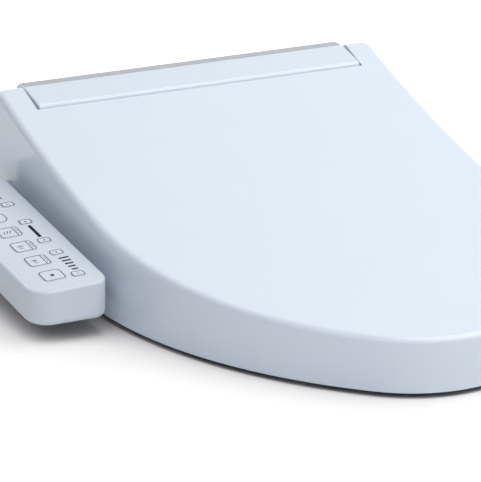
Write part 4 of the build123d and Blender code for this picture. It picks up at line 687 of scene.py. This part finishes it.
STOP_DOT = 3.6 * MM
POSITION_DOT = 1.8 * MM
JET_SPREADS = {"key_rear_wash": radians(28), "key_front_wash": radians(44)}
JET_FOOT = Vector((-2.6, -1.4)) * MM
JET_REACH = 2.6 * MM
JET_LENGTH = 3.4 * MM
JET_BASE_PLACE = -3.2 * MM
JET_BASE_LENGTH = 4.0 * MM
AIR_PLACES = (-4.6 * MM, -1.8 * MM, 1.0 * MM)
AIR_LENGTH = 6.0 * MM
AIR_LEAN = radians(62)
POWER_RING = 6.4 * MM
POWER_ROUND = 3.1 * MM
POWER_BAR = 2.4 * MM
MINUS_LENGTH = 2.6 * MM
PLUS_LENGTH = 0.8 * MM
PLUS_PLACE = 0.95 * MM
STRIP_PLACE = 5.4 * MM
STRIP_MARK_SHIFT = 2.0 * MM
STRIP_MARK_PLACES = (-3.6 * MM, 0.0, 3.6 * MM)
STRIP_MARK_LENGTH = 2.6 * MM
STRIP_MARK_WIDTH = 0.5 * MM


def dot(ink, centre, size):
    """Add a round dot to the drawing."""
    plate(ink, centre, (size, size), size * DOT_ROUND)


def bar(ink, centre, length, width, turn=0.0):
    """Add a bar with round ends to the drawing."""
    plate(ink, centre, (length, width), width * BAR_ROUND, turn)


def spray_sign(ink, spread):
    """Three jets that rise and fan out above a short base line."""
    for lean in (-spread, 0.0, spread):
        middle = JET_FOOT + Vector((sin(lean), cos(lean))) * JET_REACH
        bar(ink, middle, JET_LENGTH, BAR, pi / 2 - lean)
    bar(ink, (JET_FOOT.x, JET_BASE_PLACE), JET_BASE_LENGTH, BAR)


def side_strip(ink, depth):
    """A line across the key and three short bars in the strip beside it."""
    bar(ink, (STRIP_PLACE, 0), depth, LINE, pi / 2)
    for place in STRIP_MARK_PLACES:
        centre = (STRIP_PLACE + STRIP_MARK_SHIFT, place)
        bar(ink, centre, STRIP_MARK_LENGTH, STRIP_MARK_WIDTH, pi / 2)


def key_sign(ink, name, depth):
    """Draw the sign of one key, with the key's middle as its origin."""
    if name == "key_stop":
        dot(ink, (0, 0), STOP_DOT)
    if name in JET_SPREADS:
        spray_sign(ink, JET_SPREADS[name])
        side_strip(ink, depth)
    if name == "key_dryer":
        for place in AIR_PLACES:
            bar(ink, (place, 0), AIR_LENGTH, BAR, AIR_LEAN)
        side_strip(ink, depth)
    if name == "key_power":
        outline(ink, (0, 0), (POWER_RING, POWER_RING), POWER_ROUND, BAR)
        bar(ink, (0, 0), POWER_BAR, BAR, pi / 2)
    if name in ("key_pressure_down", "key_heat_down", "key_pressure_up", "key_heat_up"):
        bar(ink, (0, 0), MINUS_LENGTH, BAR)
    if name in ("key_pressure_up", "key_heat_up"):
        for place in (PLUS_PLACE, -PLUS_PLACE):
            bar(ink, (0, place), PLUS_LENGTH, BAR, pi / 2)
    if name in ("key_position_front", "key_position_rear"):
        dot(ink, (0, 0), POSITION_DOT)


print("lines are", round(LINE / MM, 1), "mm wide")

# %% [markdown]
# Each key's outline and sign are one piece, which rides on the key's own body
# and so goes down with it when the key is pressed. The outline keeps inside the
# hidden lip that holds the key under the shell.

# %% Marks on the keys
KEY_LIP = 1.2 * MM
BIG_KEY = 18.0 * MM
BIG_INSET = 0.5 * MM
SMALL_INSET = 0.4 * MM
POWER_CORNER = 7.5 * MM
BIG_CORNER = 3.6 * MM
SMALL_CORNER = 2.2 * MM

key_names = [name for name in frame["nodes"] if name.startswith("key_") and name != "key_board"]
for name in key_names:
    low, high = arm_box(name)
    middle = (low + high) / 2
    big = (high - low).x > BIG_KEY
    inset = BIG_INSET if big else SMALL_INSET
    size = [high[i] - low[i] - 2 * (KEY_LIP + inset) for i in (0, 1)]
    corner = POWER_CORNER if name == "key_power" else BIG_CORNER if big else SMALL_CORNER
    ink = bmesh.new()
    outline(ink, (0, 0), size, corner, LINE)
    key_sign(ink, name, size[1])
    print_marks("ink_" + name, ink, Vector((middle.x, middle.y, high.z)), name)
print("marked keys", len(key_names))

# %% [markdown]
# Between the small keys stand marks that don't move: five level bars, which
# get shorter towards the front, a solid bar between the two position keys and a
# thin one between the two heat keys. The keys stand a little above the shell,
# so the shell's ink lies that much lower than the tops of the keys.

# %% Marks on the shell
LEVEL_COUNT = 5
LEVEL_LENGTHS = (6.0 * MM, 9.5 * MM)
LEVEL_WIDTH = 2.3 * MM
LEVEL_ROUND = 0.2
LEVEL_SHARES = (0.22, 0.74)
LEVEL_SHIFT = 1.5 * MM
POSITION_BAR = (3.2 * MM, 25.0 * MM)
POSITION_ROUND = 0.15
HEAT_BAR_LENGTH = 16.0 * MM
HEAT_BAR_WIDTH = 0.9 * MM
KEY_STAND = 0.4 * MM


def key_middle(name):
    """Middle of a key along the arm's own axes."""
    low, high = arm_box(name)
    return (low + high) / 2


def between(ends, share):
    """Value at a share of the way from the first end to the second."""
    return ends[0] + (ends[1] - ends[0]) * share


ink = bmesh.new()
level_low = key_middle("key_pressure_down")
level_high = key_middle("key_pressure_up")
for step in range(LEVEL_COUNT):
    share = step / (LEVEL_COUNT - 1)
    spot = level_low.lerp(level_high, between(LEVEL_SHARES, share))
    size = (between(LEVEL_LENGTHS, share), LEVEL_WIDTH)
    plate(ink, (spot.x + LEVEL_SHIFT, spot.y), size, LEVEL_WIDTH * LEVEL_ROUND)
spot = (key_middle("key_position_front") + key_middle("key_position_rear")) / 2
plate(ink, (spot.x, spot.y), POSITION_BAR, POSITION_BAR[0] * POSITION_ROUND)
spot = (key_middle("key_heat_down") + key_middle("key_heat_up")) / 2
bar(ink, (spot.x, spot.y), HEAT_BAR_LENGTH, HEAT_BAR_WIDTH, pi / 2)
shell_top = max(arm_box(name)[1].z for name in key_names) - KEY_STAND
print_marks("ink_arm_shell", ink, Vector((0, 0, shell_top)), "housing")
print("level bars", LEVEL_COUNT)

# %% [markdown]
# The button on the right flank frees the seat from its bracket. Three raised
# ribs give the finger a hold. They are drawn with the same flat plates as the
# ink, and turned so that they stand out of the button's face.

# %% Ribs on the release button
RIB_HEIGHT = 0.6 * MM
RIB_WIDTH = 1.2 * MM
RIB_SPACING = 3.6 * MM
RIB_MARGIN = 2.5 * MM
FLANK_TURN = Matrix(((0, 0, 1), (1, 0, 0), (0, 1, 0)))

button_low, button_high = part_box("release_button")
button_middle = (button_low + button_high) / 2
button_face = Vector((button_high.x, button_middle.y, button_middle.z))
button_finish = finishes[slot_of["release_button"]]
rib_length = button_high.z - button_low.z - 2 * RIB_MARGIN
ribs = bmesh.new()
for step in (-1, 0, 1):
    plate(ribs, (step * RIB_SPACING, 0), (RIB_WIDTH, rib_length), RIB_WIDTH * BAR_ROUND)
place = Matrix.Translation(button_face) @ FLANK_TURN.to_4x4()
raise_marks("release_button_ribs", ribs, RIB_HEIGHT, place, button_finish, "release")
print("rib length", round(rib_length / MM, 1), "mm")
